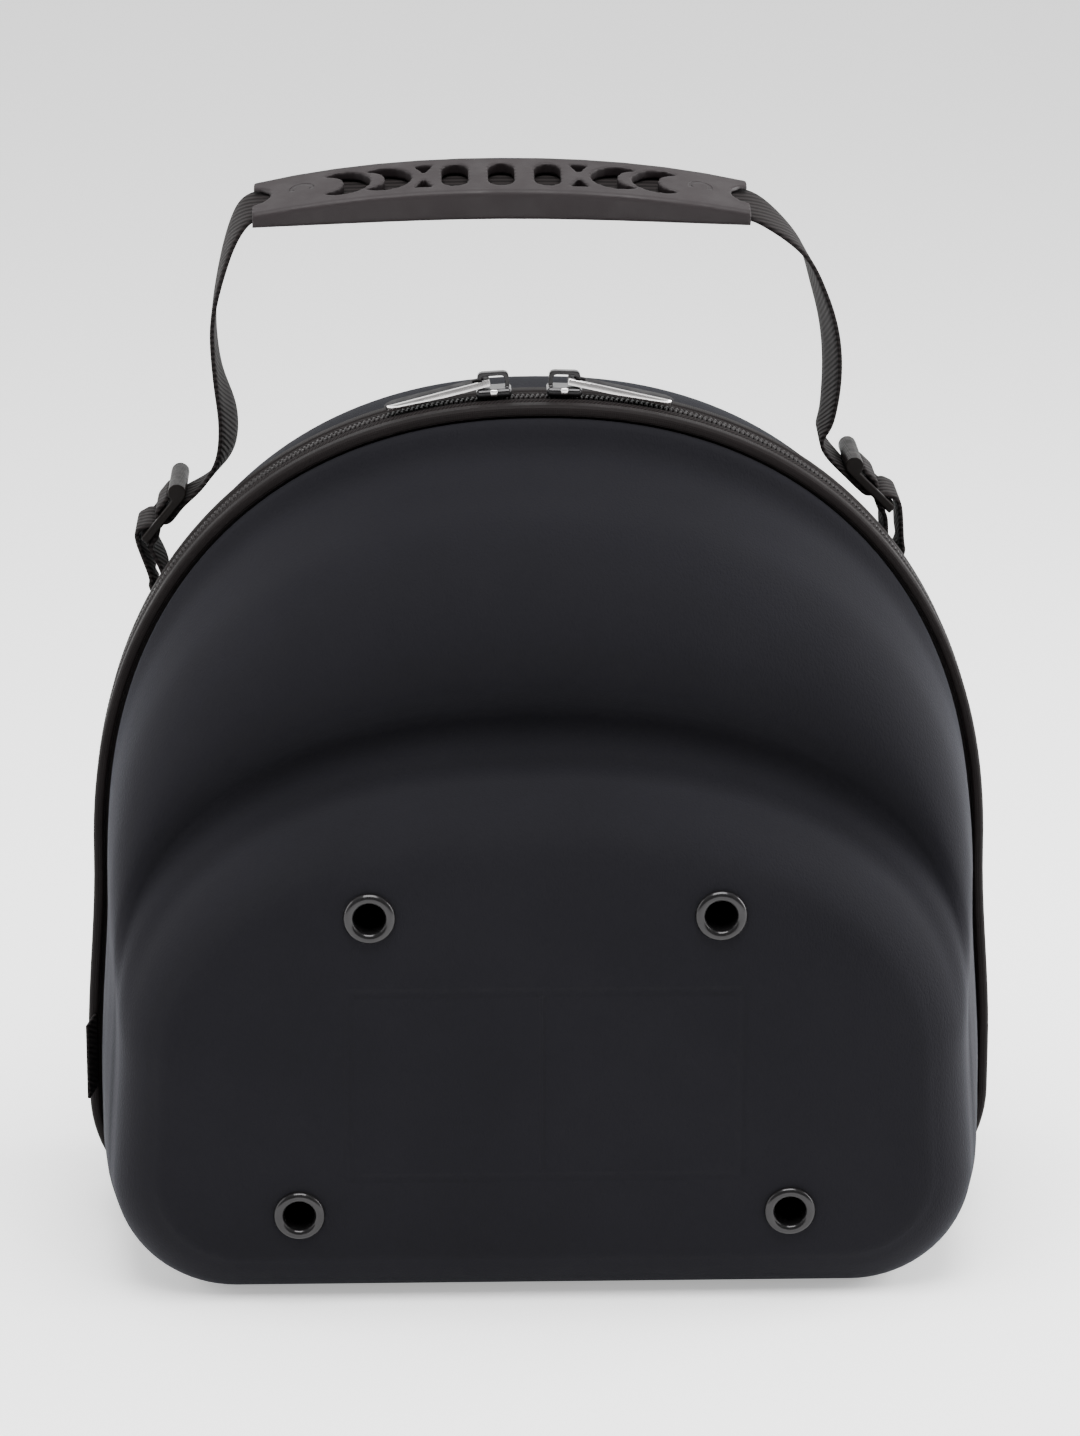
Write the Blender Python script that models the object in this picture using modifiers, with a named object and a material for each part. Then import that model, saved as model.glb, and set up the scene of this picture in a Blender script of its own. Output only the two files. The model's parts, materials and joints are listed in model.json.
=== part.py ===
"""Moulded carrier case for baseball caps, standing on its base with the carry handle up.

Metres, +Z up, the front of the case looks along -Y, and the origin is on the floor under its middle.
Two moulded shells meet at an upright seam. Each is a loft through D-shaped lines. The bound zip runs
round the seam, and a strap with a rubber grip hangs between two locks on the back shell.
"""

import math

import bmesh
import bpy
from mathutils import Matrix, Vector
from mathutils.bvhtree import BVHTree

# Case: the seam outline is a D, and every ring of both shells is a share of it
SEAM_HALF_WIDTH = 0.1432
SEAM_CROWN = 0.281
SEAM_SHOULDER = 0.133
SEAM_CORNER = 0.040
SEAM_FLARE = 0.0034
FLARE_DEPTH = 0.068
GUTTER = 0.008
SQUARENESS = 0.9
WALL = 0.004
FRONT_DEPTH = 0.088
BACK_DEPTH = 0.075
SEAM_Y = 0.0063
SHELL_EDGE = 0.011
FRONT_EDGE_ROUND = 0.025
BACK_EDGE_ROUND = 0.026
PANEL_LEAN = 0.10
PANEL_TOP = 0.163
GAP = 0.0003

# Steps along one half of the D, from the middle of the crown to the middle of the base
CROWN_STEPS = 12
SIDE_STEPS = 3
CORNER_STEPS = 5
BASE_STEPS = 3
HALF_STEPS = CROWN_STEPS + SIDE_STEPS + CORNER_STEPS + BASE_STEPS
ZIP_STEPS = CROWN_STEPS + SIDE_STEPS + CORNER_STEPS

# Rings of the front shell, from its edge to the middle of its face.
# crown, shoulder: heights as shares of SEAM_CROWN and SEAM_SHOULDER
# top, low: how far forward the ring is at the crown and along sides and base, as shares of FRONT_DEPTH
# inset: how far its sides lie inside the seam, as a share of FRONT_EDGE_ROUND
# foot: its lowest height, as a share of FRONT_EDGE_ROUND, and corner: a share of SEAM_CORNER
FRONT_RINGS = (
    {"crown": 1.000, "shoulder": 1.00, "top": 0.125, "low": 0.125, "inset": 0.00, "foot": 0.32, "corner": 1.00},
    {"crown": 1.000, "shoulder": 1.00, "top": 0.163, "low": 0.163, "inset": 0.00, "foot": 0.32, "corner": 1.00},
    {"crown": 0.965, "shoulder": 0.99, "top": 0.205, "low": 0.262, "inset": 0.01, "foot": 0.00, "corner": 1.05},
    {"crown": 0.936, "shoulder": 0.96, "top": 0.341, "low": 0.352, "inset": 0.02, "foot": 0.00, "corner": 1.05},
    {"crown": 0.900, "shoulder": 0.93, "top": 0.500, "low": 0.432, "inset": 0.05, "foot": 0.00, "corner": 1.05},
    {"crown": 0.843, "shoulder": 0.89, "top": 0.619, "low": 0.500, "inset": 0.07, "foot": 0.00, "corner": 1.05},
    {"crown": 0.783, "shoulder": 0.84, "top": 0.665, "low": 0.568, "inset": 0.10, "foot": 0.00, "corner": 1.02},
    {"crown": 0.733, "shoulder": 0.80, "top": 0.642, "low": 0.625, "inset": 0.13, "foot": 0.00, "corner": 1.02},
    {"crown": 0.703, "shoulder": 0.75, "top": 0.574, "low": 0.670, "inset": 0.16, "foot": 0.00, "corner": 1.00},
    {"crown": 0.678, "shoulder": 0.71, "top": 0.523, "low": 0.716, "inset": 0.18, "foot": 0.00, "corner": 1.00},
    {"crown": 0.646, "shoulder": 0.68, "top": 0.619, "low": 0.784, "inset": 0.22, "foot": 0.04, "corner": 0.97},
    {"crown": 0.628, "shoulder": 0.65, "top": 0.670, "low": 0.852, "inset": 0.30, "foot": 0.13, "corner": 0.94},
    {"crown": 0.614, "shoulder": 0.63, "top": 0.795, "low": 0.915, "inset": 0.44, "foot": 0.30, "corner": 0.87},
    {"crown": 0.587, "shoulder": 0.61, "top": 0.920, "low": 0.966, "inset": 0.66, "foot": 0.53, "corner": 0.76},
    {"crown": 0.548, "shoulder": 0.58, "top": 0.989, "low": 0.995, "inset": 1.00, "foot": 0.83, "corner": 0.60},
    {"crown": 0.463, "shoulder": 0.58, "top": 1.000, "low": 1.000, "inset": 2.34, "foot": 2.00, "corner": 0.45},
    {"crown": 0.374, "shoulder": 0.64, "top": 1.000, "low": 1.000, "inset": 4.14, "foot": 3.00, "corner": 0.20},
)

# Rings of the back shell in the same way, with BACK_DEPTH and BACK_EDGE_ROUND
BACK_RINGS = (
    {"crown": 1.000, "shoulder": 1.00, "top": 0.147, "low": 0.147, "inset": 0.00, "foot": 0.31, "corner": 1.00},
    {"crown": 1.000, "shoulder": 1.00, "top": 0.191, "low": 0.191, "inset": 0.00, "foot": 0.31, "corner": 1.00},
    {"crown": 0.999, "shoulder": 1.00, "top": 0.300, "low": 0.300, "inset": 0.02, "foot": 0.00, "corner": 1.05},
    {"crown": 0.999, "shoulder": 1.00, "top": 0.587, "low": 0.587, "inset": 0.05, "foot": 0.00, "corner": 1.05},
    {"crown": 0.995, "shoulder": 0.99, "top": 0.747, "low": 0.747, "inset": 0.12, "foot": 0.06, "corner": 1.02},
    {"crown": 0.975, "shoulder": 0.98, "top": 0.861, "low": 0.861, "inset": 0.33, "foot": 0.23, "corner": 0.95},
    {"crown": 0.949, "shoulder": 0.96, "top": 0.948, "low": 0.948, "inset": 0.60, "foot": 0.50, "corner": 0.82},
    {"crown": 0.909, "shoulder": 0.94, "top": 0.995, "low": 0.995, "inset": 0.93, "foot": 0.83, "corner": 0.68},
    {"crown": 0.783, "shoulder": 0.90, "top": 1.000, "low": 1.000, "inset": 2.25, "foot": 1.92, "corner": 0.45},
    {"crown": 0.641, "shoulder": 0.90, "top": 1.000, "low": 1.000, "inset": 4.00, "foot": 3.46, "corner": 0.20},
)

# Zip: coil, tapes and the bindings that hold them to the shells
CHAIN_WIDTH = 0.005
CHAIN_THICKNESS = 0.0024
CHAIN_RISE = 0.0029
TAPE_THICKNESS = 0.0012
TAPE_RISE = 0.0036
BINDING_REAR = 0.0073
BINDING_FRONT = 0.0138
BINDING_RISE = 0.0050
BINDING_GROOVE = 0.0014
BINDING_GRIP = 0.0035
HINGE_END = 0.0005

# Sliders and pulls
SLIDER_SPREAD = 0.0223
SLIDER_SHIFT = -0.0030
SLIDER_LENGTH = 0.0115
SLIDER_WIDTH = 0.0090
SLIDER_THICKNESS = 0.0030
ARCH_LENGTH = 0.0104
ARCH_HEIGHT = 0.0052
ARCH_BAND = 0.0014
ARCH_WIDTH = 0.0026
PULL_LENGTH = 0.0340
PULL_WIDTH = 0.0080
PULL_THICKNESS = 0.0018
PULL_EYE = 0.0047
PULL_RAIL = 0.0019
PULL_TILT = math.radians(11)
PULL_SEAT = 0.0017

# Eyelets: upright pairs in the front shell
EYELET_RADIUS = 0.0085
EYELET_BORE = 0.0050
EYELET_FLANGE = 0.0015
EYELET_BARREL = 0.0006
EYELET_STEPS = 16
EYELET_PAIRS = (
    {"name": "upper", "half_spacing": 0.0562, "height": 0.136},
    {"name": "lower", "half_spacing": 0.0800, "height": 0.032},
)

# Strap, grip and the locks that the strap hangs from
STRAP_WIDTH = 0.025
STRAP_THICKNESS = 0.0015
STRAP_BEHIND_SEAM = 0.030
GRIP_LENGTH = 0.1630
GRIP_SHIFT = -0.0115
GRIP_HEIGHT = 0.3490
GRIP_ARCH = 0.0054
GRIP_WIDTH = 0.031
GRIP_END_WIDTH = 0.029
GRIP_THICKNESS = 0.0104
GRIP_END_THICKNESS = 0.0052
GRIP_EDGE = 0.0016
GRIP_ROLL = math.radians(11)
GRIP_STATIONS = 12
CHANNEL_PLAY = 0.0004
SLOT_SPACING = 0.0152
SLOT_WIDTH = 0.0086
SLOT_LENGTH = 0.0190
WEB_OFFSET = 0.0255
WEB_SIZE = 0.0058
CRESCENTS = (0.0388, 0.0523)
CRESCENT_RADIUS = 0.0095
CRESCENT_TONGUE = 0.0070
CRESCENT_SHIFT = 0.0062
CRESCENT_HORN = 0.0054
NOTCH_RADIUS = 0.0075
LOCK_LENGTH = 0.0195
LOCK_RAIL = 0.0022
LOCK_THICKNESS = 0.0030
LOCK_BAR = 0.0035
LOCK_SLOT = 0.0065
LOCK_MIDDLE_BAR = 0.0030
LOCK_KNOB_RADIUS = 0.0031
LOCK_KNOB_RISE = 0.0018
LOCK_KNOB_OVERHANG = 0.0005
LOCK_TAIL = 0.0030
LOCK_TURN_DROP = 0.0007
TURN_PLAY = 0.0004
TAB_SEWN = 0.0055
TAB_DROP = 0.0142
TAB_FOLD = 0.0015
TAB_LIFT = 0.0040
TAB_CLEAR = 0.0010

# Where each lock hangs: its height as a share of SEAM_CROWN, and how far it stands off the shell
PERCHES = (
    {"name": "left", "hand": -1, "height": 0.8300, "standoff": 0.0145},
    {"name": "right", "hand": 1, "height": 0.8660, "standoff": 0.0102},
)

# How each side of the strap bows between its lock and the grip.
# rise: share of the height between them, inward: share of that height, roll: degrees of twist
STRAP_BOWS = {
    "left": (
        {"rise": 0.06, "inward": 0.064, "roll": -6},
        {"rise": 0.15, "inward": 0.104, "roll": -11},
        {"rise": 0.28, "inward": 0.082, "roll": -10},
        {"rise": 0.43, "inward": 0.012, "roll": -2},
        {"rise": 0.60, "inward": -0.042, "roll": 0},
        {"rise": 0.74, "inward": -0.055, "roll": 2},
        {"rise": 0.91, "inward": -0.046, "roll": 6},
    ),
    "right": (
        {"rise": 0.12, "inward": 0.056, "roll": 2},
        {"rise": 0.21, "inward": -0.002, "roll": -4},
        {"rise": 0.37, "inward": -0.078, "roll": -8},
        {"rise": 0.53, "inward": -0.127, "roll": -9},
        {"rise": 0.69, "inward": -0.143, "roll": -7},
        {"rise": 0.85, "inward": -0.130, "roll": 0},
    ),
}

# Side label, pinched beside the front binding on the left
LABEL_HEIGHT = 0.026
LABEL_DEPTH = 0.012
LABEL_THICKNESS = 0.001
LABEL_CENTRE = 0.065
LABEL_SPLAY = math.radians(10)

FINISHES = {
    "shell_fabric": {"colour": (0.020, 0.020, 0.024), "roughness": 0.85, "metallic": 0.0},
    "binding_tape": {"colour": (0.026, 0.022, 0.022), "roughness": 0.70, "metallic": 0.0},
    "zip_fabric": {"colour": (0.018, 0.015, 0.015), "roughness": 0.85, "metallic": 0.0},
    "zip_coil": {"colour": (0.020, 0.017, 0.017), "roughness": 0.45, "metallic": 0.0},
    "black_metal": {"colour": (0.030, 0.029, 0.030), "roughness": 0.22, "metallic": 0.9},
    "pull_metal": {"colour": (0.250, 0.240, 0.240), "roughness": 0.20, "metallic": 1.0},
    "webbing": {"colour": (0.018, 0.015, 0.015), "roughness": 0.80, "metallic": 0.0},
    "grip_rubber": {"colour": (0.036, 0.031, 0.031), "roughness": 0.60, "metallic": 0.0},
    "lock_plastic": {"colour": (0.016, 0.013, 0.012), "roughness": 0.25, "metallic": 0.0},
    "label_cloth": {"colour": (0.012, 0.012, 0.013), "roughness": 0.80, "metallic": 0.0},
}


def clear_scene():
    for old in list(bpy.data.objects):
        bpy.data.objects.remove(old, do_unlink=True)


def new_collection(name):
    made = bpy.data.collections.new(name)
    bpy.context.scene.collection.children.link(made)
    return made


def make_material(name, colour, roughness, metallic):
    made = bpy.data.materials.new(name)
    made.use_nodes = True
    shader = made.node_tree.nodes["Principled BSDF"]
    shader.inputs["Base Color"].default_value = (*colour, 1.0)
    shader.inputs["Roughness"].default_value = roughness
    shader.inputs["Metallic"].default_value = metallic
    return made


def smooth_step(share):
    share = min(max(share, 0.0), 1.0)
    return share * share * (3.0 - 2.0 * share)


def mix(low, high, share):
    return low + (high - low) * share


def add_object(name, shape, finish, matrix=None, smooth=True):
    """Turns a bmesh into a named object of the case, with its faces pointing out."""
    bmesh.ops.recalc_face_normals(shape, faces=shape.faces)
    mesh = bpy.data.meshes.new(name)
    shape.to_mesh(mesh)
    shape.free()
    if smooth:
        mesh.shade_smooth()
        mesh.set_sharp_from_angle(angle=math.radians(35))
    made = bpy.data.objects.new(name, mesh)
    made.data.materials.append(materials[finish])
    if matrix is not None:
        made.matrix_world = matrix
    case.objects.link(made)
    return made


def add_cutter(name, shape, matrix=None):
    bmesh.ops.recalc_face_normals(shape, faces=shape.faces)
    mesh = bpy.data.meshes.new(name)
    shape.to_mesh(mesh)
    shape.free()
    made = bpy.data.objects.new(name, mesh)
    if matrix is not None:
        made.matrix_world = matrix
    made.hide_render = True
    made.display_type = "WIRE"
    cutters.objects.link(made)
    return made


def cut(target, cutter, operation="DIFFERENCE"):
    made = target.modifiers.new(cutter.name, "BOOLEAN")
    made.operation = operation
    made.solver = "EXACT"
    made.object = cutter


def loft(sections, closed_path=False, caps=True):
    """Joins closed sections of equally many points into one skin."""
    shape = bmesh.new()
    rows = [[shape.verts.new(point) for point in section] for section in sections]
    count = len(rows[0])
    last = len(rows) if closed_path else len(rows) - 1
    for row in range(last):
        here = rows[row]
        there = rows[(row + 1) % len(rows)]
        for step in range(count):
            after = (step + 1) % count
            shape.faces.new((here[step], here[after], there[after], there[step]))
    if caps and not closed_path:
        shape.faces.new(rows[0][::-1])
        shape.faces.new(rows[-1])
    return shape


def block(size, centre=(0.0, 0.0, 0.0), edge=0.0):
    """A box with its edges taken off by edge."""
    shape = bmesh.new()
    bmesh.ops.create_cube(shape, size=1.0)
    bmesh.ops.scale(shape, vec=size, verts=shape.verts)
    bmesh.ops.translate(shape, vec=centre, verts=shape.verts)
    if edge:
        bmesh.ops.bevel(shape, geom=shape.edges[:], offset=edge, segments=1, affect="EDGES")
    return shape


def crosswise_bar(radius, width, centre, sides=12):
    """A round bar that lies along Y."""
    shape = bmesh.new()
    bmesh.ops.create_cone(
        shape, cap_ends=True, segments=sides, radius1=radius, radius2=radius, depth=width,
        matrix=Matrix.Translation(centre) @ Matrix.Rotation(math.pi / 2, 4, "X"),
    )
    return shape


def prism(outline, low, high):
    """An upright solid between two heights over a flat outline of (x, y) points."""
    shape = bmesh.new()
    bottom = shape.faces.new([shape.verts.new((x, y, low)) for x, y in outline])
    grown = bmesh.ops.extrude_face_region(shape, geom=[bottom])
    tops = [item for item in grown["geom"] if isinstance(item, bmesh.types.BMVert)]
    bmesh.ops.translate(shape, vec=(0.0, 0.0, high - low), verts=tops)
    return shape


def arc(centre, radius, start, end, steps):
    """Points on an arc in the plane, angles in degrees."""
    angles = [math.radians(mix(start, end, step / steps)) for step in range(steps + 1)]
    return [(centre[0] + radius * math.cos(a), centre[1] + radius * math.sin(a)) for a in angles]


def smooth_route(points, steps):
    """A Catmull-Rom line through points of any number of coordinates."""
    ends = [points[0], *points, points[-1]]
    line = []
    for index in range(1, len(ends) - 2):
        a, b, c, d = ends[index - 1:index + 3]
        for step in range(steps):
            t = step / steps
            line.append(tuple(
                0.5 * (2 * q + (r - p) * t + (2 * p - 5 * q + 4 * r - s) * t ** 2
                       + (3 * q - p - 3 * r + s) * t ** 3)
                for p, q, r, s in zip(a, b, c, d)
            ))
    line.append(tuple(points[-1]))
    return line


def d_line(side, crown, shoulder, foot, corner):
    """A closed D as (x, z) points, from the middle of the crown down the right side and back."""
    half = []
    for step in range(CROWN_STEPS):
        turn = math.pi / 2 * (1 - step / CROWN_STEPS)
        half.append((side * math.cos(turn) ** SQUARENESS, mix(shoulder, crown, math.sin(turn) ** SQUARENESS)))
    for step in range(SIDE_STEPS):
        height = mix(shoulder, foot + corner, step / SIDE_STEPS)
        half.append((side + SEAM_FLARE * smooth_step((shoulder - height) / FLARE_DEPTH), height))
    low_side = side + SEAM_FLARE * smooth_step((shoulder - foot - corner) / FLARE_DEPTH)
    half += arc((low_side - corner, foot + corner), corner, 0, -90, CORNER_STEPS)[:-1]
    for step in range(BASE_STEPS + 1):
        half.append(((low_side - corner) * (1 - step / BASE_STEPS), foot))
    return half + [(-x, z) for x, z in half[-2:0:-1]]


def seam_line():
    return d_line(SEAM_HALF_WIDTH, SEAM_CROWN, SEAM_SHOULDER, GUTTER, SEAM_CORNER)


def shell_ring(ring, depth, edge_round, towards):
    """One ring of a shell as points in space; towards is -1 for the front shell and 1 for the back."""
    crown = ring["crown"] * SEAM_CROWN
    shoulder = ring["shoulder"] * SEAM_SHOULDER
    side = SEAM_HALF_WIDTH - ring["inset"] * edge_round
    line = d_line(side, crown, shoulder, ring["foot"] * edge_round, ring["corner"] * SEAM_CORNER)
    points = []
    for x, z in line:
        out = mix(ring["low"], ring["top"], smooth_step((z - shoulder) / (crown - shoulder))) * depth
        if towards < 0:
            out *= 1 - PANEL_LEAN * ring["low"] ** 2 * max(0.0, 1 - z / PANEL_TOP)
        points.append(Vector((x, SEAM_Y + towards * out, z)))
    return points


def make_shell(name, rings, depth, edge_round, towards):
    """An open skin from the seam edge to the middle of the face, given its wall by Solidify."""
    sections = [shell_ring(ring, depth, edge_round, towards) for ring in rings]
    skin = loft(sections, caps=False)
    skin.verts.ensure_lookup_table()
    inner = [skin.verts[len(skin.verts) - len(sections[-1]) + step] for step in range(len(sections[-1]))]
    middle = skin.verts.new(sum((v.co for v in inner), Vector()) / len(inner))
    for step, vertex in enumerate(inner):
        skin.faces.new((vertex, inner[(step + 1) % len(inner)], middle))
    bmesh.ops.recalc_face_normals(skin, faces=skin.faces)
    outermost = max(skin.faces, key=lambda face: towards * face.calc_center_median().y)
    if outermost.normal.y * towards < 0:
        bmesh.ops.reverse_faces(skin, faces=skin.faces)
    mesh = bpy.data.meshes.new(name)
    skin.to_mesh(mesh)
    skin.free()
    mesh.shade_smooth()
    shell = bpy.data.objects.new(name, mesh)
    shell.data.materials.append(materials["shell_fabric"])
    case.objects.link(shell)
    wall = shell.modifiers.new("wall", "SOLIDIFY")
    wall.thickness = WALL
    wall.offset = -1
    wall.use_even_offset = True
    return shell


def seam_frames(line):
    """Each point of the seam with its outward direction in the XZ plane."""
    frames = []
    for index, (x, z) in enumerate(line):
        before = line[index - 1]
        after = line[(index + 1) % len(line)]
        along = Vector((after[0] - before[0], 0.0, after[1] - before[1])).normalized()
        frames.append((Vector((x, SEAM_Y, z)), Vector((-along.z, 0.0, along.x))))
    return frames


def sweep_seam(name, profile, finish, frames, closed):
    """Carries a profile of (outward, forward) points along the seam."""
    sections = [
        [point + outward * out + Vector((0.0, -forward, 0.0)) for out, forward in profile]
        for point, outward in frames
    ]
    return add_object(name, loft(sections, closed_path=closed), finish)


def rectangle(low_out, high_out, low_forward, high_forward):
    return (
        (low_out, low_forward),
        (high_out, low_forward),
        (high_out, high_forward),
        (low_out, high_forward),
    )


def binding_profile(towards):
    """A bound edge: a tongue behind the shell's edge and a rounded lip outside it."""
    tongue_front = SHELL_EDGE - GAP
    points = (
        (-BINDING_GRIP, BINDING_REAR),
        (BINDING_RISE - 0.15 * BINDING_RISE, BINDING_REAR),
        (BINDING_RISE, mix(BINDING_REAR, BINDING_FRONT, 0.25)),
        (BINDING_RISE, mix(BINDING_REAR, BINDING_FRONT, 0.80)),
        (mix(BINDING_GROOVE, BINDING_RISE, 0.65), BINDING_FRONT),
        (BINDING_GROOVE, mix(BINDING_REAR, BINDING_FRONT, 0.90)),
        (BINDING_GROOVE, tongue_front),
        (-BINDING_GRIP, tongue_front),
    )
    return [(out, towards * forward) for out, forward in points]


def make_zip(frames):
    """Bindings all round, and coil and tapes from one low corner over the crown to the other."""
    sweep_seam("front_binding", binding_profile(1), "binding_tape", frames, closed=True)
    sweep_seam("back_binding", binding_profile(-1), "binding_tape", frames, closed=True)
    zipped = frames[-ZIP_STEPS:] + frames[:ZIP_STEPS + 1]
    half_chain = CHAIN_WIDTH / 2
    chain = (
        (CHAIN_RISE, -half_chain),
        (CHAIN_RISE + 0.7 * CHAIN_THICKNESS, -half_chain),
        (CHAIN_RISE + CHAIN_THICKNESS, -0.4 * half_chain),
        (CHAIN_RISE + CHAIN_THICKNESS, 0.4 * half_chain),
        (CHAIN_RISE + 0.7 * CHAIN_THICKNESS, half_chain),
        (CHAIN_RISE, half_chain),
    )
    sweep_seam("zip_chain", chain, "zip_coil", zipped, closed=False)
    tape_top = TAPE_RISE + TAPE_THICKNESS
    front_tape = rectangle(TAPE_RISE, tape_top, half_chain + GAP, BINDING_REAR - GAP)
    back_tape = [(out, -forward) for out, forward in front_tape]
    sweep_seam("zip_tape_front", front_tape, "zip_fabric", zipped, closed=False)
    sweep_seam("zip_tape_back", back_tape, "zip_fabric", zipped, closed=False)
    hinge = frames[ZIP_STEPS:len(frames) - ZIP_STEPS + 1]
    inset = Vector((HINGE_END, 0.0, 0.0))
    hinge[0] = (hinge[0][0] - inset, Vector((0.0, 0.0, -1.0)))
    hinge[-1] = (hinge[-1][0] + inset, Vector((0.0, 0.0, -1.0)))
    strip = rectangle(TAPE_RISE, tape_top, GAP - BINDING_REAR, BINDING_REAR - GAP)
    sweep_seam("hinge_strip", strip, "zip_fabric", hinge, closed=False)


def seam_perch(turn):
    """The seam frame at an angle of the crown: X along the seam, Y to the back, Z outward."""
    height = SEAM_CROWN - SEAM_SHOULDER
    x = SEAM_HALF_WIDTH * math.copysign(abs(math.cos(turn)) ** SQUARENESS, math.cos(turn))
    z = SEAM_SHOULDER + height * math.sin(turn) ** SQUARENESS
    power = 2 / SQUARENESS - 1
    slope_x = math.copysign(abs(x / SEAM_HALF_WIDTH) ** power, x) / SEAM_HALF_WIDTH
    slope_z = ((z - SEAM_SHOULDER) / height) ** power / height
    outward = Vector((slope_x, 0.0, slope_z)).normalized()
    along = Vector((0.0, 1.0, 0.0)).cross(outward)
    frame = Matrix((along, (0.0, 1.0, 0.0), outward)).transposed().to_4x4()
    frame.translation = (x, SEAM_Y, z)
    return frame


def perch_at_x(x):
    share = math.copysign((abs(x) / SEAM_HALF_WIDTH) ** (1 / SQUARENESS), x)
    return seam_perch(math.acos(share))


def perch_at_height(height, hand):
    share = ((height - SEAM_SHOULDER) / (SEAM_CROWN - SEAM_SHOULDER)) ** (1 / SQUARENESS)
    turn = math.asin(share)
    return seam_perch(turn if hand > 0 else math.pi - turn)


def slider_deck():
    """Height of a slider's top face above the seam line."""
    return CHAIN_RISE + CHAIN_THICKNESS + GAP + SLIDER_THICKNESS


def make_slider(name, frame):
    """A slider body over the coil, with the arch that holds its pull."""
    deck = slider_deck()
    body = block(
        (SLIDER_LENGTH, SLIDER_WIDTH, SLIDER_THICKNESS), (0.0, 0.0, deck - SLIDER_THICKNESS / 2),
        edge=SLIDER_THICKNESS / 4,
    )
    slider = add_object(name, body, "black_metal", frame)
    half = ARCH_LENGTH / 2
    corner = ARCH_HEIGHT / 3
    inner = corner - ARCH_BAND / 2
    root = deck - SLIDER_THICKNESS / 2
    top = deck + ARCH_HEIGHT
    outer_line = [(half, root), *arc((half - corner, top - corner), corner, 0, 90, 3)]
    outer_line += [*arc((corner - half, top - corner), corner, 90, 180, 3), (-half, root)]
    low = half - ARCH_BAND
    inner_top = top - ARCH_BAND
    inner_line = [(-low, root), *arc((inner - low, inner_top - inner), inner, 180, 90, 2)]
    inner_line += [*arc((low - inner, inner_top - inner), inner, 90, 0, 2), (low, root)]
    ring = prism(outer_line + inner_line, -ARCH_WIDTH / 2, ARCH_WIDTH / 2)
    arch = add_cutter(name + "_arch", ring, frame @ Matrix.Rotation(math.pi / 2, 4, "X"))
    cut(slider, arch, "UNION")
    return slider


def make_pull(name, frame, hand):
    """A flat pull whose cross bar lies under the slider's arch; its origin is on that bar."""
    half = PULL_WIDTH / 2
    bar = PULL_THICKNESS / 2
    outline = [(-bar, -half), (PULL_LENGTH * 0.35, -half), (PULL_LENGTH - half, -half * 1.1)]
    outline += arc((PULL_LENGTH - half, 0.0), half * 1.1, -60, 60, 4)
    outline += [(PULL_LENGTH - half, half * 1.1), (PULL_LENGTH * 0.35, half), (-bar, half)]
    eye_half = half - PULL_RAIL
    plate = prism([(hand * x, y) for x, y in outline], -bar, bar)
    axis = Matrix.Translation((hand * (ARCH_LENGTH / 2 - ARCH_BAND - PULL_SEAT), 0.0, slider_deck() + PULL_SEAT + GAP))
    tilt = Matrix.Rotation(hand * PULL_TILT, 4, "Y")
    pull = add_object(name, plate, "pull_metal", frame @ axis @ tilt, smooth=False)
    eye = block((PULL_EYE - bar, 2 * eye_half, PULL_THICKNESS * 3), (hand * (PULL_EYE + bar) / 2, 0.0, 0.0))
    cut(pull, add_cutter(name + "_eye", eye, frame @ axis @ tilt))
    return pull


def make_sliders():
    for hand, side in ((-1, "left"), (1, "right")):
        frame = perch_at_x(SLIDER_SHIFT + hand * SLIDER_SPREAD / 2)
        make_slider("slider_" + side, frame)
        make_pull("pull_" + side, frame, hand)


def eyelet_profile():
    """Half section of a rolled eyelet, from the outer face of the wall to the inner one."""
    sleeve = EYELET_BORE + EYELET_BARREL
    inside = -WALL - GAP
    lip = mix(EYELET_BORE, EYELET_RADIUS, 0.65)
    return (
        (sleeve, GAP),
        (sleeve, inside),
        (lip, inside),
        (lip, inside - 2 * EYELET_BARREL),
        (EYELET_BORE, inside - 2 * EYELET_BARREL),
        (EYELET_BORE, GAP),
        (mix(EYELET_BORE, EYELET_RADIUS, 0.35), EYELET_FLANGE),
        (mix(EYELET_BORE, EYELET_RADIUS, 0.85), EYELET_FLANGE),
        (EYELET_RADIUS, GAP),
    )


def make_eyelet(name, place):
    mesh = bpy.data.meshes.new(name)
    profile = eyelet_profile()
    edges = [(step, (step + 1) % len(profile)) for step in range(len(profile))]
    mesh.from_pydata([(radius, 0.0, height) for radius, height in profile], edges, [])
    mesh.materials.append(materials["black_metal"])
    eyelet = bpy.data.objects.new(name, mesh)
    eyelet.matrix_world = place
    case.objects.link(eyelet)
    turned = eyelet.modifiers.new("turned", "SCREW")
    turned.axis = "Z"
    turned.steps = EYELET_STEPS
    turned.render_steps = EYELET_STEPS
    turned.use_merge_vertices = True
    turned.merge_threshold = 0.00001
    return eyelet


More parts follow.
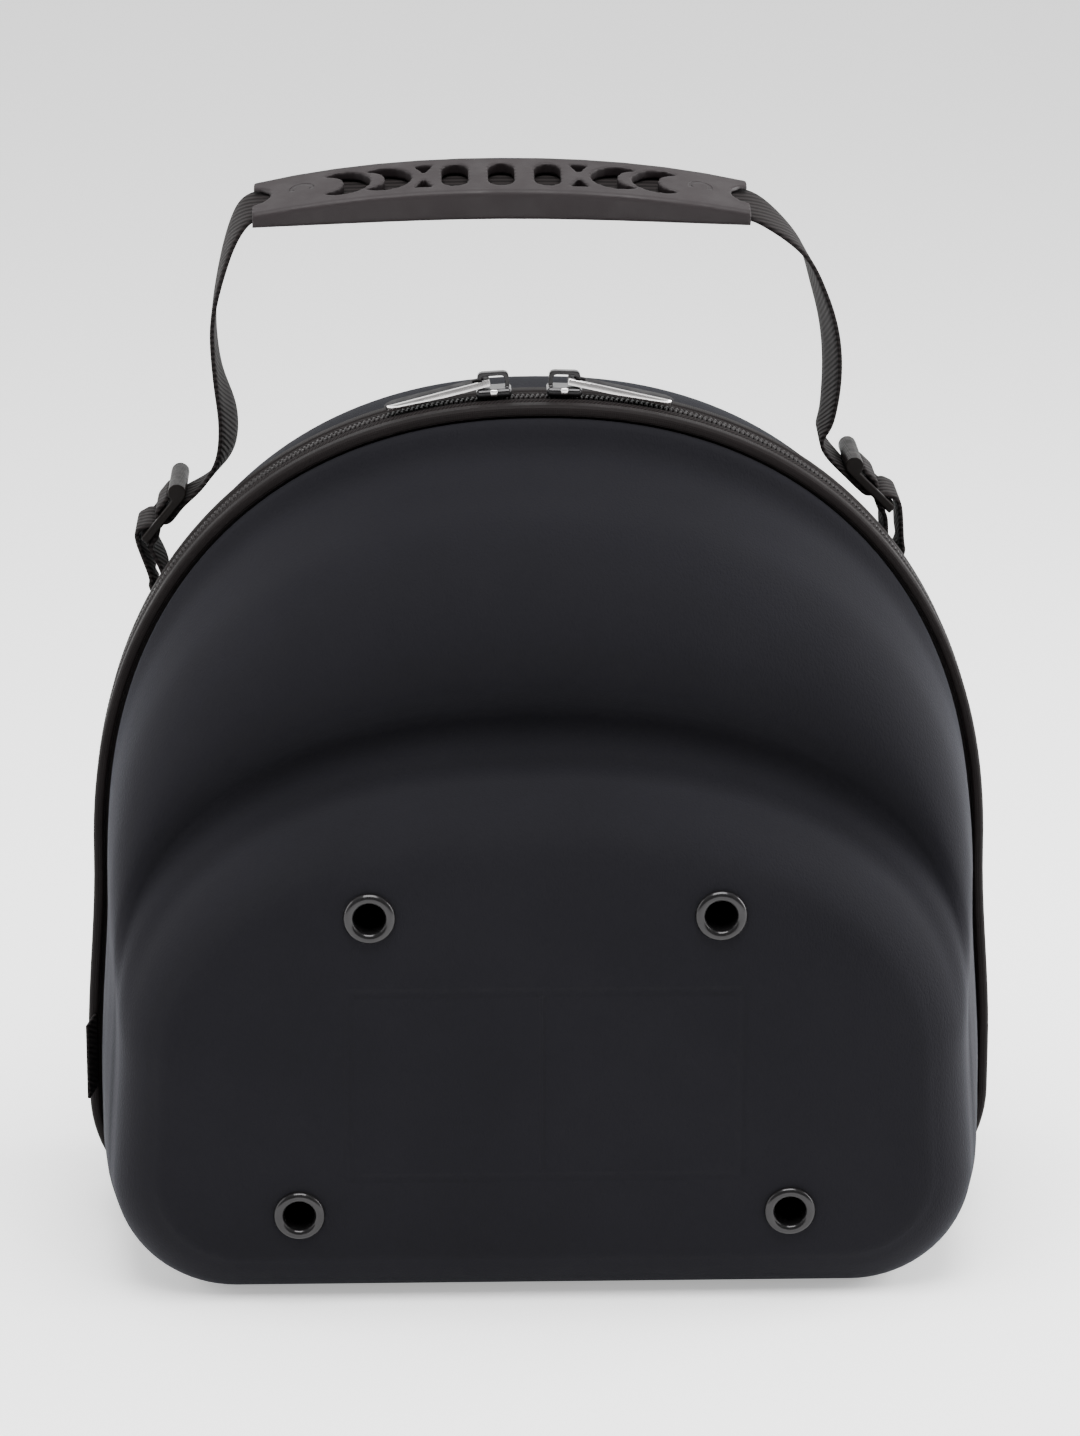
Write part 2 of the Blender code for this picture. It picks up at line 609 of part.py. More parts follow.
def make_eyelets(shell):
    """Finds the face of the shell at each place, cuts the hole there and seats an eyelet in it."""
    skin = bmesh.new()
    skin.from_mesh(shell.data)
    tree = BVHTree.FromBMesh(skin)
    skin.free()
    for pair in EYELET_PAIRS:
        for hand, side in ((-1, "left"), (1, "right")):
            start = Vector((hand * pair["half_spacing"], SEAM_Y - 2 * FRONT_DEPTH, pair["height"]))
            spot, normal, _, _ = tree.ray_cast(start, Vector((0.0, 1.0, 0.0)))
            name = "eyelet_" + pair["name"] + "_" + side
            place = Matrix.Translation(spot) @ normal.to_track_quat("Z", "Y").to_matrix().to_4x4()
            hole = bmesh.new()
            radius = EYELET_BORE + EYELET_BARREL + GAP
            bmesh.ops.create_cone(
                hole, cap_ends=True, segments=EYELET_STEPS, radius1=radius, radius2=radius, depth=6 * WALL
            )
            cut(shell, add_cutter(name + "_hole", hole, place))
            make_eyelet(name, place)


def lock_centre():
    """Distance of the plate's middle from the middle bar, along the strap."""
    return (LOCK_MIDDLE_BAR / 2 + LOCK_SLOT + LOCK_BAR) - LOCK_LENGTH / 2


def make_lock(name, frame, hand, standoff):
    """A plate with two slots and a raised round bar to lift it by."""
    width = STRAP_WIDTH + 2 * (GAP + LOCK_RAIL) + 2 * GAP
    plate = block(
        (LOCK_LENGTH, width, LOCK_THICKNESS), (hand * lock_centre(), 0.0, standoff), edge=LOCK_THICKNESS / 7
    )
    behind = Matrix.Translation((0.0, STRAP_BEHIND_SEAM, 0.0))
    lock = add_object(name, plate, "lock_plastic", frame @ behind)
    top = LOCK_LENGTH - (LOCK_MIDDLE_BAR / 2 + LOCK_SLOT + LOCK_BAR)
    knob_place = (-hand * (top + LOCK_KNOB_OVERHANG), 0.0, standoff + LOCK_KNOB_RISE)
    knob = crosswise_bar(LOCK_KNOB_RADIUS, width, knob_place)
    cut(lock, add_cutter(name + "_knob", knob, frame @ behind), "UNION")
    upper = top - LOCK_KNOB_RADIUS - LOCK_MIDDLE_BAR / 2
    slots = (
        {"name": "_lower_slot", "length": LOCK_SLOT, "middle": -(LOCK_MIDDLE_BAR + LOCK_SLOT) / 2},
        {"name": "_upper_slot", "length": upper, "middle": (LOCK_MIDDLE_BAR + upper) / 2},
    )
    for slot in slots:
        hole = block(
            (slot["length"], STRAP_WIDTH + 2 * GAP, 3 * LOCK_THICKNESS), (-hand * slot["middle"], 0.0, standoff)
        )
        cut(lock, add_cutter(name + slot["name"], hole, frame @ behind))
    return lock


def turn_radius():
    """Radius of the middle of the strap where it goes round a bar of the lock."""
    return LOCK_THICKNESS / 2 + TURN_PLAY + STRAP_THICKNESS / 2


def lock_run(frame, hand, standoff):
    """The strap's end as (x, z, roll): a short tail over the middle bar, round it and out under the knob."""
    radius = turn_radius()
    edge = LOCK_MIDDLE_BAR / 2
    points = [(edge + LOCK_TAIL, radius), (0.0, radius)]
    points += [(x - LOCK_TURN_DROP, z) for x, z in arc((0.0, 0.0), radius, 90, 270, 6)]
    points += [(edge, -radius), (edge + 1.5 * LOCK_TAIL, -radius)]
    run = []
    for along, out in points:
        place = frame @ Vector((-hand * along, 0.0, standoff + out))
        run.append((place.x, place.z, 0.0))
    return run


def strap_bow(bow, low, high, hand):
    """The free part of the strap between its lock and the end of the grip."""
    height = high[1] - low[1]
    points = []
    for row in bow:
        straight = mix(low[0], high[0], row["rise"])
        points.append((
            straight - hand * row["inward"] * height,
            mix(low[1], high[1], row["rise"]),
            math.radians(row["roll"]),
        ))
    return points


def arch_drop(share):
    """How far the grip's middle line has sunk at a share from -1 to 1 of its half length."""
    return GRIP_ARCH * share * share


def grip_line(share):
    """The grip's middle line in its own rolled frame, so that it sinks straight down in the scene."""
    sunk = Matrix.Rotation(-GRIP_ROLL, 3, "X") @ Vector((0.0, 0.0, -arch_drop(share)))
    return Vector((share * GRIP_LENGTH / 2, sunk.y, sunk.z))


def grip_shares(reach=1.0):
    return [mix(-reach, reach, step / GRIP_STATIONS) for step in range(GRIP_STATIONS + 1)]


def ribbon(route, width, thickness, y):
    """A flat band along (x, z, roll) points, with its width along Y where the roll is nought."""
    sections = []
    for index, (x, z, roll) in enumerate(route):
        before = route[max(index - 1, 0)]
        after = route[min(index + 1, len(route) - 1)]
        along = Vector((after[0] - before[0], 0.0, after[1] - before[1])).normalized()
        across = Vector((0.0, 1.0, 0.0))
        across = across * math.cos(roll) + along.cross(across) * math.sin(roll)
        outward = along.cross(across)
        centre = Vector((x, y, z))
        sections.append([
            centre + across * (width / 2 * side) + outward * (thickness / 2 * face)
            for side, face in ((-1, -1), (1, -1), (1, 1), (-1, 1))
        ])
    return loft(sections)


def make_strap(frames):
    """One strap: out of the left lock, up, through the grip and down into the right lock."""
    half = GRIP_LENGTH / 2
    through = [
        (GRIP_SHIFT + share * half, GRIP_HEIGHT - arch_drop(share), GRIP_ROLL) for share in grip_shares()
    ]
    sides = {}
    for perch in PERCHES:
        hand = perch["hand"]
        run = lock_run(frames[perch["name"]], hand, perch["standoff"])
        end = through[0] if hand < 0 else through[-1]
        bow = strap_bow(STRAP_BOWS[perch["name"]], run[-1], end, hand)
        inner = through[1] if hand < 0 else through[-2]
        free = smooth_route([run[-2], run[-1], *bow, end, inner], 3)
        sides[perch["name"]] = run[:-2] + free[:-4]
    route = sides["left"] + through + sides["right"][::-1]
    band = ribbon(route, STRAP_WIDTH, STRAP_THICKNESS, SEAM_Y + STRAP_BEHIND_SEAM)
    return add_object("handle_strap", band, "webbing")


def make_tab(name, frame, hand, standoff, height):
    """A webbing loop round the lock's lower bar, with its outer layer bowed over the sewn foot."""
    radius = turn_radius() + 0.5 * TURN_PLAY
    slot_edge = -(LOCK_MIDDLE_BAR / 2 + LOCK_SLOT)
    turn_middle = slot_edge - radius * 0.30
    below_bar = slot_edge - LOCK_BAR - TAB_CLEAR
    turn = [(turn_middle + x, z) for x, z in arc((0.0, 0.0), radius, -90, 90, 6)]
    loop = []
    for along, out in [(below_bar, -radius), *turn, (below_bar, radius)]:
        place = frame @ Vector((-hand * along, 0.0, standoff + out))
        loop.append((place.x, place.z))
    inner_layer = GAP + STRAP_THICKNESS / 2
    outer_layer = inner_layer + STRAP_THICKNESS + GAP

    def seat(drop, rise):
        place = perch_at_height(height - drop, hand) @ Vector((0.0, 0.0, rise))
        return place.x, place.z

    foot = TAB_DROP + TAB_SEWN
    bow = [
        loop[-2],
        loop[-1],
        seat(TAB_DROP + TAB_FOLD, outer_layer + TAB_LIFT),
        seat(foot - TAB_FOLD, outer_layer + 0.6 * TAB_LIFT),
        seat(foot, outer_layer),
    ]
    route = [seat(foot, inner_layer), seat(TAB_DROP, inner_layer), *loop[:-2], *smooth_route(bow, 3)]
    band = ribbon([(x, z, 0.0) for x, z in route], STRAP_WIDTH - GAP, STRAP_THICKNESS, SEAM_Y + STRAP_BEHIND_SEAM)
    return add_object(name, band, "webbing")


def make_handle():
    frames = {}
    for perch in PERCHES:
        height = perch["height"] * SEAM_CROWN
        frame = perch_at_height(height, perch["hand"])
        frames[perch["name"]] = frame
        make_lock("ladder_lock_" + perch["name"], frame, perch["hand"], perch["standoff"])
        make_tab("anchor_tab_" + perch["name"], frame, perch["hand"], perch["standoff"], height)
    make_strap(frames)


def grip_section(share):
    """A section of the grip across its length, a rectangle with round corners."""
    across = mix(GRIP_END_WIDTH, GRIP_WIDTH, 1 - abs(share) ** 4) / 2 - GRIP_EDGE
    up = mix(GRIP_END_THICKNESS, GRIP_THICKNESS, 1 - abs(share) ** 2.5) / 2 - GRIP_EDGE
    corners = arc((across, up), GRIP_EDGE, 0, 90, 2) + arc((-across, up), GRIP_EDGE, 90, 180, 2)
    corners += arc((-across, -up), GRIP_EDGE, 180, 270, 2) + arc((across, -up), GRIP_EDGE, 270, 360, 2)
    return [grip_line(share) + Vector((0.0, y, z)) for y, z in corners]


def crescent(centre, hand):
    """Outline of a moon-shaped opening round the tip of a tongue that comes from the end of the grip."""
    reach = math.degrees(math.acos(CRESCENT_HORN / CRESCENT_RADIUS))
    outer = arc((centre, 0.0), CRESCENT_RADIUS, reach, 360 - reach, 12)
    tongue = math.degrees(math.acos((CRESCENT_HORN - CRESCENT_SHIFT) / CRESCENT_TONGUE))
    inner = arc((centre + CRESCENT_SHIFT, 0.0), CRESCENT_TONGUE, 360 - tongue, tongue, 8)
    return [(hand * x, y) for x, y in outer + inner]


def grip_openings():
    """The openings in the grip's top, as outlines seen from above."""
    openings = []
    end = SLOT_LENGTH / 2 - SLOT_WIDTH / 2
    for index in (-1, 0, 1):
        x = index * SLOT_SPACING
        outline = arc((x, end), SLOT_WIDTH / 2, 0, 180, 5) + arc((x, -end), SLOT_WIDTH / 2, 180, 360, 5)
        openings.append({"name": "slot", "x": x, "outline": outline})
    for hand in (-1, 1):
        x = hand * WEB_OFFSET
        for side in (-1, 1):
            tip = (x, side * WEB_SIZE * 0.35)
            base = side * (SLOT_LENGTH / 2)
            outline = [tip, (x + WEB_SIZE * 0.55, base), (x - WEB_SIZE * 0.55, base)]
            openings.append({"name": "web", "x": x, "outline": outline})
        for centre in CRESCENTS:
            openings.append({"name": "crescent", "x": hand * centre, "outline": crescent(centre, hand)})
        edge = hand * (GRIP_LENGTH / 2 + 0.0015)
        notch = arc((edge, 0.0), NOTCH_RADIUS, 0, 360, 14)[:-1]
        openings.append({"name": "notch", "x": hand * (GRIP_LENGTH / 2 - 0.0035), "outline": notch})
    return openings


def make_grip():
    """A rubber sleeve over the strap, pierced in its top."""
    place = Matrix.Translation((GRIP_SHIFT, SEAM_Y + STRAP_BEHIND_SEAM, GRIP_HEIGHT))
    place = place @ Matrix.Rotation(GRIP_ROLL, 4, "X")
    body = loft([grip_section(share) for share in grip_shares()])
    grip = add_object("handle_grip", body, "grip_rubber", place)
    half_width = STRAP_WIDTH / 2 + CHANNEL_PLAY
    half_height = STRAP_THICKNESS / 2 + CHANNEL_PLAY
    sections = []
    for share in grip_shares(1 + 2 / GRIP_STATIONS):
        sections.append([
            grip_line(share) + Vector((0.0, half_width * side, half_height * face))
            for side, face in ((-1, -1), (1, -1), (1, 1), (-1, 1))
        ])
    cut(grip, add_cutter("grip_channel", loft(sections), place))
    for index, opening in enumerate(grip_openings()):
        middle = grip_line(opening["x"] / (GRIP_LENGTH / 2)).z
        solid = prism(opening["outline"], middle, middle + GRIP_THICKNESS)
        cut(grip, add_cutter("grip_" + opening["name"] + str(index), solid, place))
    return grip


def make_label():
    """A small folded label that stands out of the groove beside the left side of the front shell."""
    side = SEAM_HALF_WIDTH + SEAM_FLARE
    tab = block((LABEL_THICKNESS, LABEL_DEPTH, LABEL_HEIGHT), (0.0, -LABEL_DEPTH / 2, 0.0), edge=LABEL_THICKNESS / 5)
    base = Vector((-side - BINDING_GROOVE - LABEL_THICKNESS, SEAM_Y - BINDING_FRONT - GAP, LABEL_CENTRE))
    place = Matrix.Translation(base) @ Matrix.Rotation(-LABEL_SPLAY, 4, "Z")
    return add_object("side_label", tab, "label_cloth", place, smooth=False)


clear_scene()
case = new_collection("cap_carrier_case")
cutters = new_collection("cutters")
materials = {name: make_material(name, **finish) for name, finish in FINISHES.items()}

front_shell = make_shell("front_shell", FRONT_RINGS, FRONT_DEPTH, FRONT_EDGE_ROUND, -1)
make_shell("back_shell", BACK_RINGS, BACK_DEPTH, BACK_EDGE_ROUND, 1)
make_eyelets(front_shell)
make_zip(seam_frames(seam_line()))
make_sliders()
make_handle()
make_grip()
make_label()
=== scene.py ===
# %% [markdown]
# This lesson dresses a moulded cap carrier case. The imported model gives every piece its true
# size and place. Here each piece gets a finer shape and a finish of its own: cloth pressed over
# foam, bound edges, a coil zip, dark metal and soft rubber.

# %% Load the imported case
import json
import math

import bmesh
import bpy
from mathutils import Matrix, Vector
from mathutils.bvhtree import BVHTree

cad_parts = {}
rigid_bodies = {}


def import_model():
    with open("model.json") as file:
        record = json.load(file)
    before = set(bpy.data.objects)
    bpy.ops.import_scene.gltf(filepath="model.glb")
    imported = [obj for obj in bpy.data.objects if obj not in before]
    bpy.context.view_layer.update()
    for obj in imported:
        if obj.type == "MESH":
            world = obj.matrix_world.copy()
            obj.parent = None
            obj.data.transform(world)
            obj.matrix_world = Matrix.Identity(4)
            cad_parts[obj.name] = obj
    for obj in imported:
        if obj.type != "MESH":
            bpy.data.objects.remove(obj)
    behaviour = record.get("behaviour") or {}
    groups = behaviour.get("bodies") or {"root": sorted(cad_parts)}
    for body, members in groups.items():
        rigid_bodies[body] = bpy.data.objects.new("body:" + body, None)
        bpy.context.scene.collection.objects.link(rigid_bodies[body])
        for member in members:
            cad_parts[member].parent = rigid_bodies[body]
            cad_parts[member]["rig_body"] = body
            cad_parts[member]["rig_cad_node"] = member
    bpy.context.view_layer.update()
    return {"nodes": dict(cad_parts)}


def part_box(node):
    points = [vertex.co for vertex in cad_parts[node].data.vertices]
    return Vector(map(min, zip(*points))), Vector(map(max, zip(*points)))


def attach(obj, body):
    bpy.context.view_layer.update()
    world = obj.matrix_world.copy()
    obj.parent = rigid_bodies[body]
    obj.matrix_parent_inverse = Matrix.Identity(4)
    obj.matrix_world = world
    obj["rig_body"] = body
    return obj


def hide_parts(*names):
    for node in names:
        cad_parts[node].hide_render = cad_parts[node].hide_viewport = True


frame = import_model()

# %% [markdown]
# A product picture is taken with a long lens from a little above. The lens here is 128 mm and
# the camera stands 1.7 m away, 17 degrees up and slightly to the left. It is made first, so that
# every later piece can be judged in the right view.

# %% Camera
SEAM_Y = 0.0063
TARGET = Vector((0.0005, SEAM_Y, 0.176))
DISTANCE = 1.7
RISE = math.radians(17.0)
TURN = math.radians(1.5)

bpy.ops.object.select_all(action="DESELECT")
towards_camera = Vector((
    -math.sin(TURN) * math.cos(RISE),
    -math.cos(TURN) * math.cos(RISE),
    math.sin(RISE),
))
bpy.ops.object.camera_add(location=TARGET + towards_camera * DISTANCE)
camera = bpy.context.object
camera.rotation_mode = "QUATERNION"
camera.rotation_quaternion = (-towards_camera).to_track_quat("-Z", "Y")
camera.data.lens = 128.0
camera.data.clip_end = 50.0
bpy.context.scene.camera = camera
print("camera at", [round(value, 3) for value in camera.location])

# %% [markdown]
# Black cloth shows its shape only through soft light that comes from the sides and from above.
# Soft boxes stand left and right, and a large one hangs overhead.
# The surroundings are white behind the case and dim in front of it, so that the hollows of the
# front stay dark while the edges catch light.

# %% Lights and floor
LIGHTS = (
    {"name": "left_box", "place": (-1.30, 0.10, 0.50), "size": 0.9, "power": 14.0},
    {"name": "right_box", "place": (1.30, 0.15, 0.50), "size": 0.9, "power": 34.0},
    {"name": "top_box", "place": (0.0, -0.40, 1.60), "size": 1.1, "power": 54.0},
)
for row in LIGHTS:
    bpy.ops.object.light_add(type="AREA", location=row["place"])
    lamp = bpy.context.object
    lamp.name = row["name"]
    lamp.data.shape = "SQUARE"
    lamp.data.size = row["size"]
    lamp.data.energy = row["power"]
    lamp.rotation_mode = "QUATERNION"
    lamp.rotation_quaternion = (Vector((0.0, 0.0, 0.15)) - lamp.location).to_track_quat("-Z", "Y")

# How bright the surroundings are, from straight in front of the case to straight behind it.
BRIGHTNESS = {"From Min": -0.7, "From Max": 0.7, "To Min": 0.34, "To Max": 1.6}

surroundings = bpy.data.worlds.new("studio")
surroundings.use_nodes = True
sky = surroundings.node_tree
direction = sky.nodes.new("ShaderNodeTexCoord")
parts = sky.nodes.new("ShaderNodeSeparateXYZ")
backward = sky.nodes.new("ShaderNodeMapRange")
for key, value in BRIGHTNESS.items():
    backward.inputs[key].default_value = value
sky.links.new(direction.outputs["Generated"], parts.inputs["Vector"])
sky.links.new(parts.outputs["Y"], backward.inputs["Value"])
sky.links.new(backward.outputs["Result"], sky.nodes["Background"].inputs["Strength"])
sky.nodes["Background"].inputs["Color"].default_value = (1.0, 1.0, 1.0, 1.0)
bpy.context.scene.world = surroundings

bpy.ops.mesh.primitive_plane_add(size=30.0, location=(0.0, 0.0, -0.0002))
floor = bpy.context.object
floor.name = "floor"
floor_finish = bpy.data.materials.new("pale_floor")
floor_finish.use_nodes = True
floor_shader = floor_finish.node_tree.nodes["Principled BSDF"]
floor_shader.inputs["Base Color"].default_value = (0.95, 0.95, 0.95, 1.0)
floor_shader.inputs["Roughness"].default_value = 0.9
floor_shader.inputs["Emission Color"].default_value = (1.0, 1.0, 1.0, 1.0)
floor_shader.inputs["Emission Strength"].default_value = 0.45
floor.data.materials.append(floor_finish)

# %% [markdown]
# Finishes are built from a few small helpers. One makes a material with its plain values set on
# the shader itself. The others add a node, a fine grain and a bump, which are wired in only
# where the surface really changes from point to point.

# %% Helpers for finishes
def new_finish(name, colour, roughness, **values):
    made = bpy.data.materials.new(name)
    made.use_nodes = True
    shader = made.node_tree.nodes["Principled BSDF"]
    shader.inputs["Base Color"].default_value = (*colour, 1.0)
    shader.inputs["Roughness"].default_value = roughness
    for key, value in values.items():
        shader.inputs[key.replace("_", " ")].default_value = value
    return made


def add_node(finish, kind, inputs=(), **settings):
    """Adds a node, gives it its settings, and wires or fills its inputs in order of (name, value)."""
    tree = finish.node_tree
    made = tree.nodes.new(kind)
    for key, value in settings.items():
        setattr(made, key, value)
    for key, value in inputs:
        if isinstance(value, bpy.types.NodeSocket):
            tree.links.new(value, made.inputs[key])
        else:
            made.inputs[key].default_value = value
    return made


def maths(finish, operation, first, second=0.0, third=0.0):
    made = add_node(finish, "ShaderNodeMath", ((0, first), (1, second), (2, third)), operation=operation)
    return made.outputs[0]


def coordinates(finish, kind="Object", scale=(1.0, 1.0, 1.0), turn=(0.0, 0.0, 0.0)):
    source = add_node(finish, "ShaderNodeTexCoord").outputs[kind]
    made = add_node(finish, "ShaderNodeMapping", (("Vector", source), ("Scale", scale), ("Rotation", turn)))
    return made.outputs[0]


def grain(finish, per_metre, stretch=(1.0, 1.0, 1.0), detail=2.0):
    place = coordinates(finish, scale=stretch)
    made = add_node(
        finish, "ShaderNodeTexNoise",
        (("Vector", place), ("Scale", per_metre), ("Detail", detail), ("Roughness", 0.6)),
    )
    return made.outputs[0]


def rib(finish, place, period, sharp=0.0):
    """Even ribs along X of the given coordinates, one each period."""
    made = add_node(
        finish, "ShaderNodeTexWave",
        (("Vector", place), ("Scale", 0.31416 / period), ("Distortion", 0.0)),
        wave_type="BANDS", bands_direction="X",
    )
    return maths(finish, "POWER", made.outputs["Fac"], 1.0 + sharp)


def bump(finish, height, depth, strength=1.0, below=None):
    inputs = [("Height", height), ("Distance", depth), ("Strength", strength)]
    if below is not None:
        inputs.append(("Normal", below))
    return add_node(finish, "ShaderNodeBump", inputs).outputs[0]


def shade_between(finish, factor, low, high):
    made = add_node(
        finish, "ShaderNodeMapRange",
        (("Value", factor), ("From Min", 0.3), ("From Max", 0.7), ("To Min", low), ("To Max", high)),
    )
    return made.outputs[0]


def tint(finish, factor, dark, light):
    """Mixes two colours by a factor and wires the result to the shader."""
    made = add_node(
        finish, "ShaderNodeMix",
        ((0, factor), (6, (*dark, 1.0)), (7, (*light, 1.0))),
        data_type="RGBA",
    )
    wire(finish, made.outputs[2], "Base Color")


def wire(finish, output, socket):
    finish.node_tree.links.new(output, finish.node_tree.nodes["Principled BSDF"].inputs[socket])


# %% [markdown]
# The shells are foam with a fine stretch cloth pressed over them. The cloth is nearly black with
# a blue cast, it has no gloss, and its short fibres catch light at grazing angles. That is what
# sheen does. The pressed panel on the front is low relief of under a millimetre, so it is made
# as a bump: a plain frame with one divider.

# %% Shell cloth
PANEL = {"half_width": 0.0636, "half_height": 0.0325, "centre": 0.0775, "line": 0.0012}


def shell_cloth(name, with_panel):
    cloth = new_finish(
        name, (0.008, 0.008, 0.010), 0.95, Sheen_Weight=0.05, Sheen_Roughness=0.35,
        Sheen_Tint=(0.80, 0.84, 1.0, 1.0), Specular_IOR_Level=0.12,
    )
    patches = grain(cloth, 14.0, detail=3.0)
    fibres = grain(cloth, 1500.0, stretch=(1.0, 1.0, 0.55))
    shade = maths(cloth, "ADD", maths(cloth, "MULTIPLY", patches, 0.6), maths(cloth, "MULTIPLY", fibres, 0.4))
    tint(cloth, shade, (0.0035, 0.0034, 0.0047), (0.0088, 0.0085, 0.0108))
    relief = bump(cloth, fibres, 0.00016)
    if with_panel:
        relief = bump(cloth, panel_height(cloth), 0.0010, below=relief)
    wire(cloth, relief, "Normal")
    return cloth


def panel_height(cloth):
    """Height of the pressed panel: a sunk frame line with one divider."""
    place = add_node(cloth, "ShaderNodeSeparateXYZ", (("Vector", coordinates(cloth)),))
    x = place.outputs["X"]
    z = maths(cloth, "SUBTRACT", place.outputs["Z"], PANEL["centre"])
    across = maths(cloth, "SUBTRACT", maths(cloth, "ABSOLUTE", x), PANEL["half_width"])
    upright = maths(cloth, "SUBTRACT", maths(cloth, "ABSOLUTE", z), PANEL["half_height"])
    edge = maths(cloth, "ABSOLUTE", maths(cloth, "SMOOTH_MAX", across, upright, 0.004))
    line = soft_step(cloth, edge, PANEL["line"] * 1.7, 0.0)
    divider = soft_step(cloth, maths(cloth, "ABSOLUTE", maths(cloth, "ADD", x, 0.0008)), PANEL["line"], 0.0)
    inside = soft_step(cloth, upright, 0.0, -0.002)
    lines = maths(cloth, "MAXIMUM", line, maths(cloth, "MULTIPLY", divider, inside))
    return maths(cloth, "MULTIPLY", lines, -0.5)


def soft_step(finish, value, zero_at, one_at):
    made = add_node(
        finish, "ShaderNodeMapRange",
        (("Value", value), ("From Min", zero_at), ("From Max", one_at), ("To Min", 0.0), ("To Max", 1.0)),
        interpolation_type="SMOOTHSTEP",
    )
    return made.outputs[0]


front_cloth = shell_cloth("shell_cloth_front", with_panel=True)
back_cloth = shell_cloth("shell_cloth_back", with_panel=False)

# %% [markdown]
# The trims are a warmer black than the shells. Binding tape is smooth with a faint satin gloss,
# the zip tape is twill, webbing has slanting ribs, and the plastic locks are glossy. Patterns
# that follow the seam read the piece's own UV map, which is in metres along and across it. The
# fine ribs of the locks and the open rings on the grip are shallow, so they are made as bump.

# %% Trim finishes
def binding_tape():
    tape = new_finish(
        "binding_tape", (0.005, 0.004, 0.004), 0.60, Sheen_Weight=0.02, Sheen_Roughness=0.4,
        Specular_IOR_Level=0.08,
    )
    along = coordinates(tape, "UV")
    weave = rib(tape, along, 0.0007)
    cross = rib(tape, coordinates(tape, "UV", turn=(0.0, 0.0, math.radians(90))), 0.0007)
    cloth = maths(tape, "MULTIPLY", weave, cross)
    tint(tape, grain(tape, 60.0), (0.0036, 0.0026, 0.0026), (0.0068, 0.0050, 0.0050))
    wire(tape, bump(tape, cloth, 0.00008), "Normal")
    return tape


STITCH = {"inset": 0.0011, "length": 0.0011}


def zip_tape():
    tape = new_finish("zip_tape", (0.010, 0.008, 0.008), 0.85, Sheen_Weight=0.01, Specular_IOR_Level=0.08)
    twill = rib(tape, coordinates(tape, "UV", turn=(0.0, 0.0, math.radians(28))), 0.0011)
    seam = add_node(tape, "ShaderNodeSeparateXYZ", (("Vector", coordinates(tape, "UV")),))
    stitch_line = maths(tape, "ABSOLUTE", maths(tape, "SUBTRACT", seam.outputs["Y"], STITCH["inset"]))
    stitch = maths(tape, "PINGPONG", seam.outputs["X"], STITCH["length"])
    # The sewn line is real; its dark dots are painted shade in the needle holes.
    stitch_hole_shade = maths(
        tape, "MULTIPLY",
        soft_step(tape, stitch_line, 0.0006, 0.0003), soft_step(tape, stitch, 0.00035, 0.0006),
    )
    # Colour follows the same height as the bump: the twill grooves and stitch holes are darker, as painted
    # shade.
    shade = maths(tape, "SUBTRACT", twill, maths(tape, "MULTIPLY", stitch_hole_shade, 0.9))
    tint(tape, shade, (0.0012, 0.0009, 0.0009), (0.0115, 0.0085, 0.0085))
    wire(tape, bump(tape, shade, 0.00025), "Normal")
    return tape


def webbing():
    web = new_finish("webbing", (0.011, 0.009, 0.009), 0.75, Sheen_Weight=0.01, Specular_IOR_Level=0.10)
    ribs = rib(web, coordinates(web, turn=(math.radians(24), math.radians(90), 0.0)), 0.0017)
    threads = grain(web, 1300.0)
    height = maths(web, "ADD", ribs, maths(web, "MULTIPLY", threads, 0.35))
    # Painted shade: the grooves between the ribs are darker in colour, following the same ribs as the bump.
    tint(web, ribs, (0.0022, 0.0015, 0.0015), (0.0110, 0.0086, 0.0086))
    wire(web, bump(web, height, 0.00035), "Normal")
    return web


MARK = {"reach": 0.0655, "radius": 0.0034}


def grip_rubber():
    """Soft matt rubber with an open ring pressed into each end."""
    rubber = new_finish("grip_rubber", (0.010, 0.008, 0.008), 0.62, Specular_IOR_Level=0.22)
    tint(rubber, grain(rubber, 30.0, detail=4.0), (0.0085, 0.0060, 0.0066), (0.0155, 0.0115, 0.0124))
    place = add_node(rubber, "ShaderNodeSeparateXYZ", (("Vector", coordinates(rubber)),))
    middle = (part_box("handle_grip")[0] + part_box("handle_grip")[1]) / 2
    x = maths(rubber, "ABSOLUTE", maths(rubber, "SUBTRACT", place.outputs["X"], middle.x))
    x = maths(rubber, "SUBTRACT", x, MARK["reach"])
    y = maths(rubber, "SUBTRACT", place.outputs["Y"], middle.y)
    squares = maths(rubber, "ADD", maths(rubber, "MULTIPLY", x, x), maths(rubber, "MULTIPLY", y, y))
    away = maths(rubber, "SQRT", squares)
    ring = maths(rubber, "ABSOLUTE", maths(rubber, "SUBTRACT", away, MARK["radius"]))
    groove = maths(
        rubber, "MULTIPLY", soft_step(rubber, ring, 0.0009, 0.0003), soft_step(rubber, y, -0.0018, -0.0008)
    )
    relief = bump(rubber, maths(rubber, "MULTIPLY", groove, -1.0), 0.0007)
    wire(rubber, bump(rubber, grain(rubber, 2400.0), 0.00006, below=relief), "Normal")
    wire(rubber, shade_between(rubber, grain(rubber, 90.0), 0.50, 0.66), "Roughness")
    return rubber


def smooth_finish(name, dark, light, low, high, **values):
    """Metal or plastic: nearly even, with faint handling marks in its colour and gloss."""
    made = new_finish(name, light, (low + high) / 2, **values)
    tint(made, grain(made, 120.0), dark, light)
    wire(made, shade_between(made, grain(made, 260.0, detail=4.0), low, high), "Roughness")
    wire(made, bump(made, grain(made, 900.0), 0.00001), "Normal")
    return made


def ribbed_plastic(name, dark, light, low, high):
    """Glossy plastic with the fine ribs that let the webbing grip the bar."""
    made = smooth_finish(name, dark, light, low, high, Specular_IOR_Level=0.08)
    ribs = rib(made, coordinates(made, turn=(0.0, 0.0, math.radians(90))), 0.0016)
    wire(made, bump(made, ribs, 0.00012), "Normal")
    return made


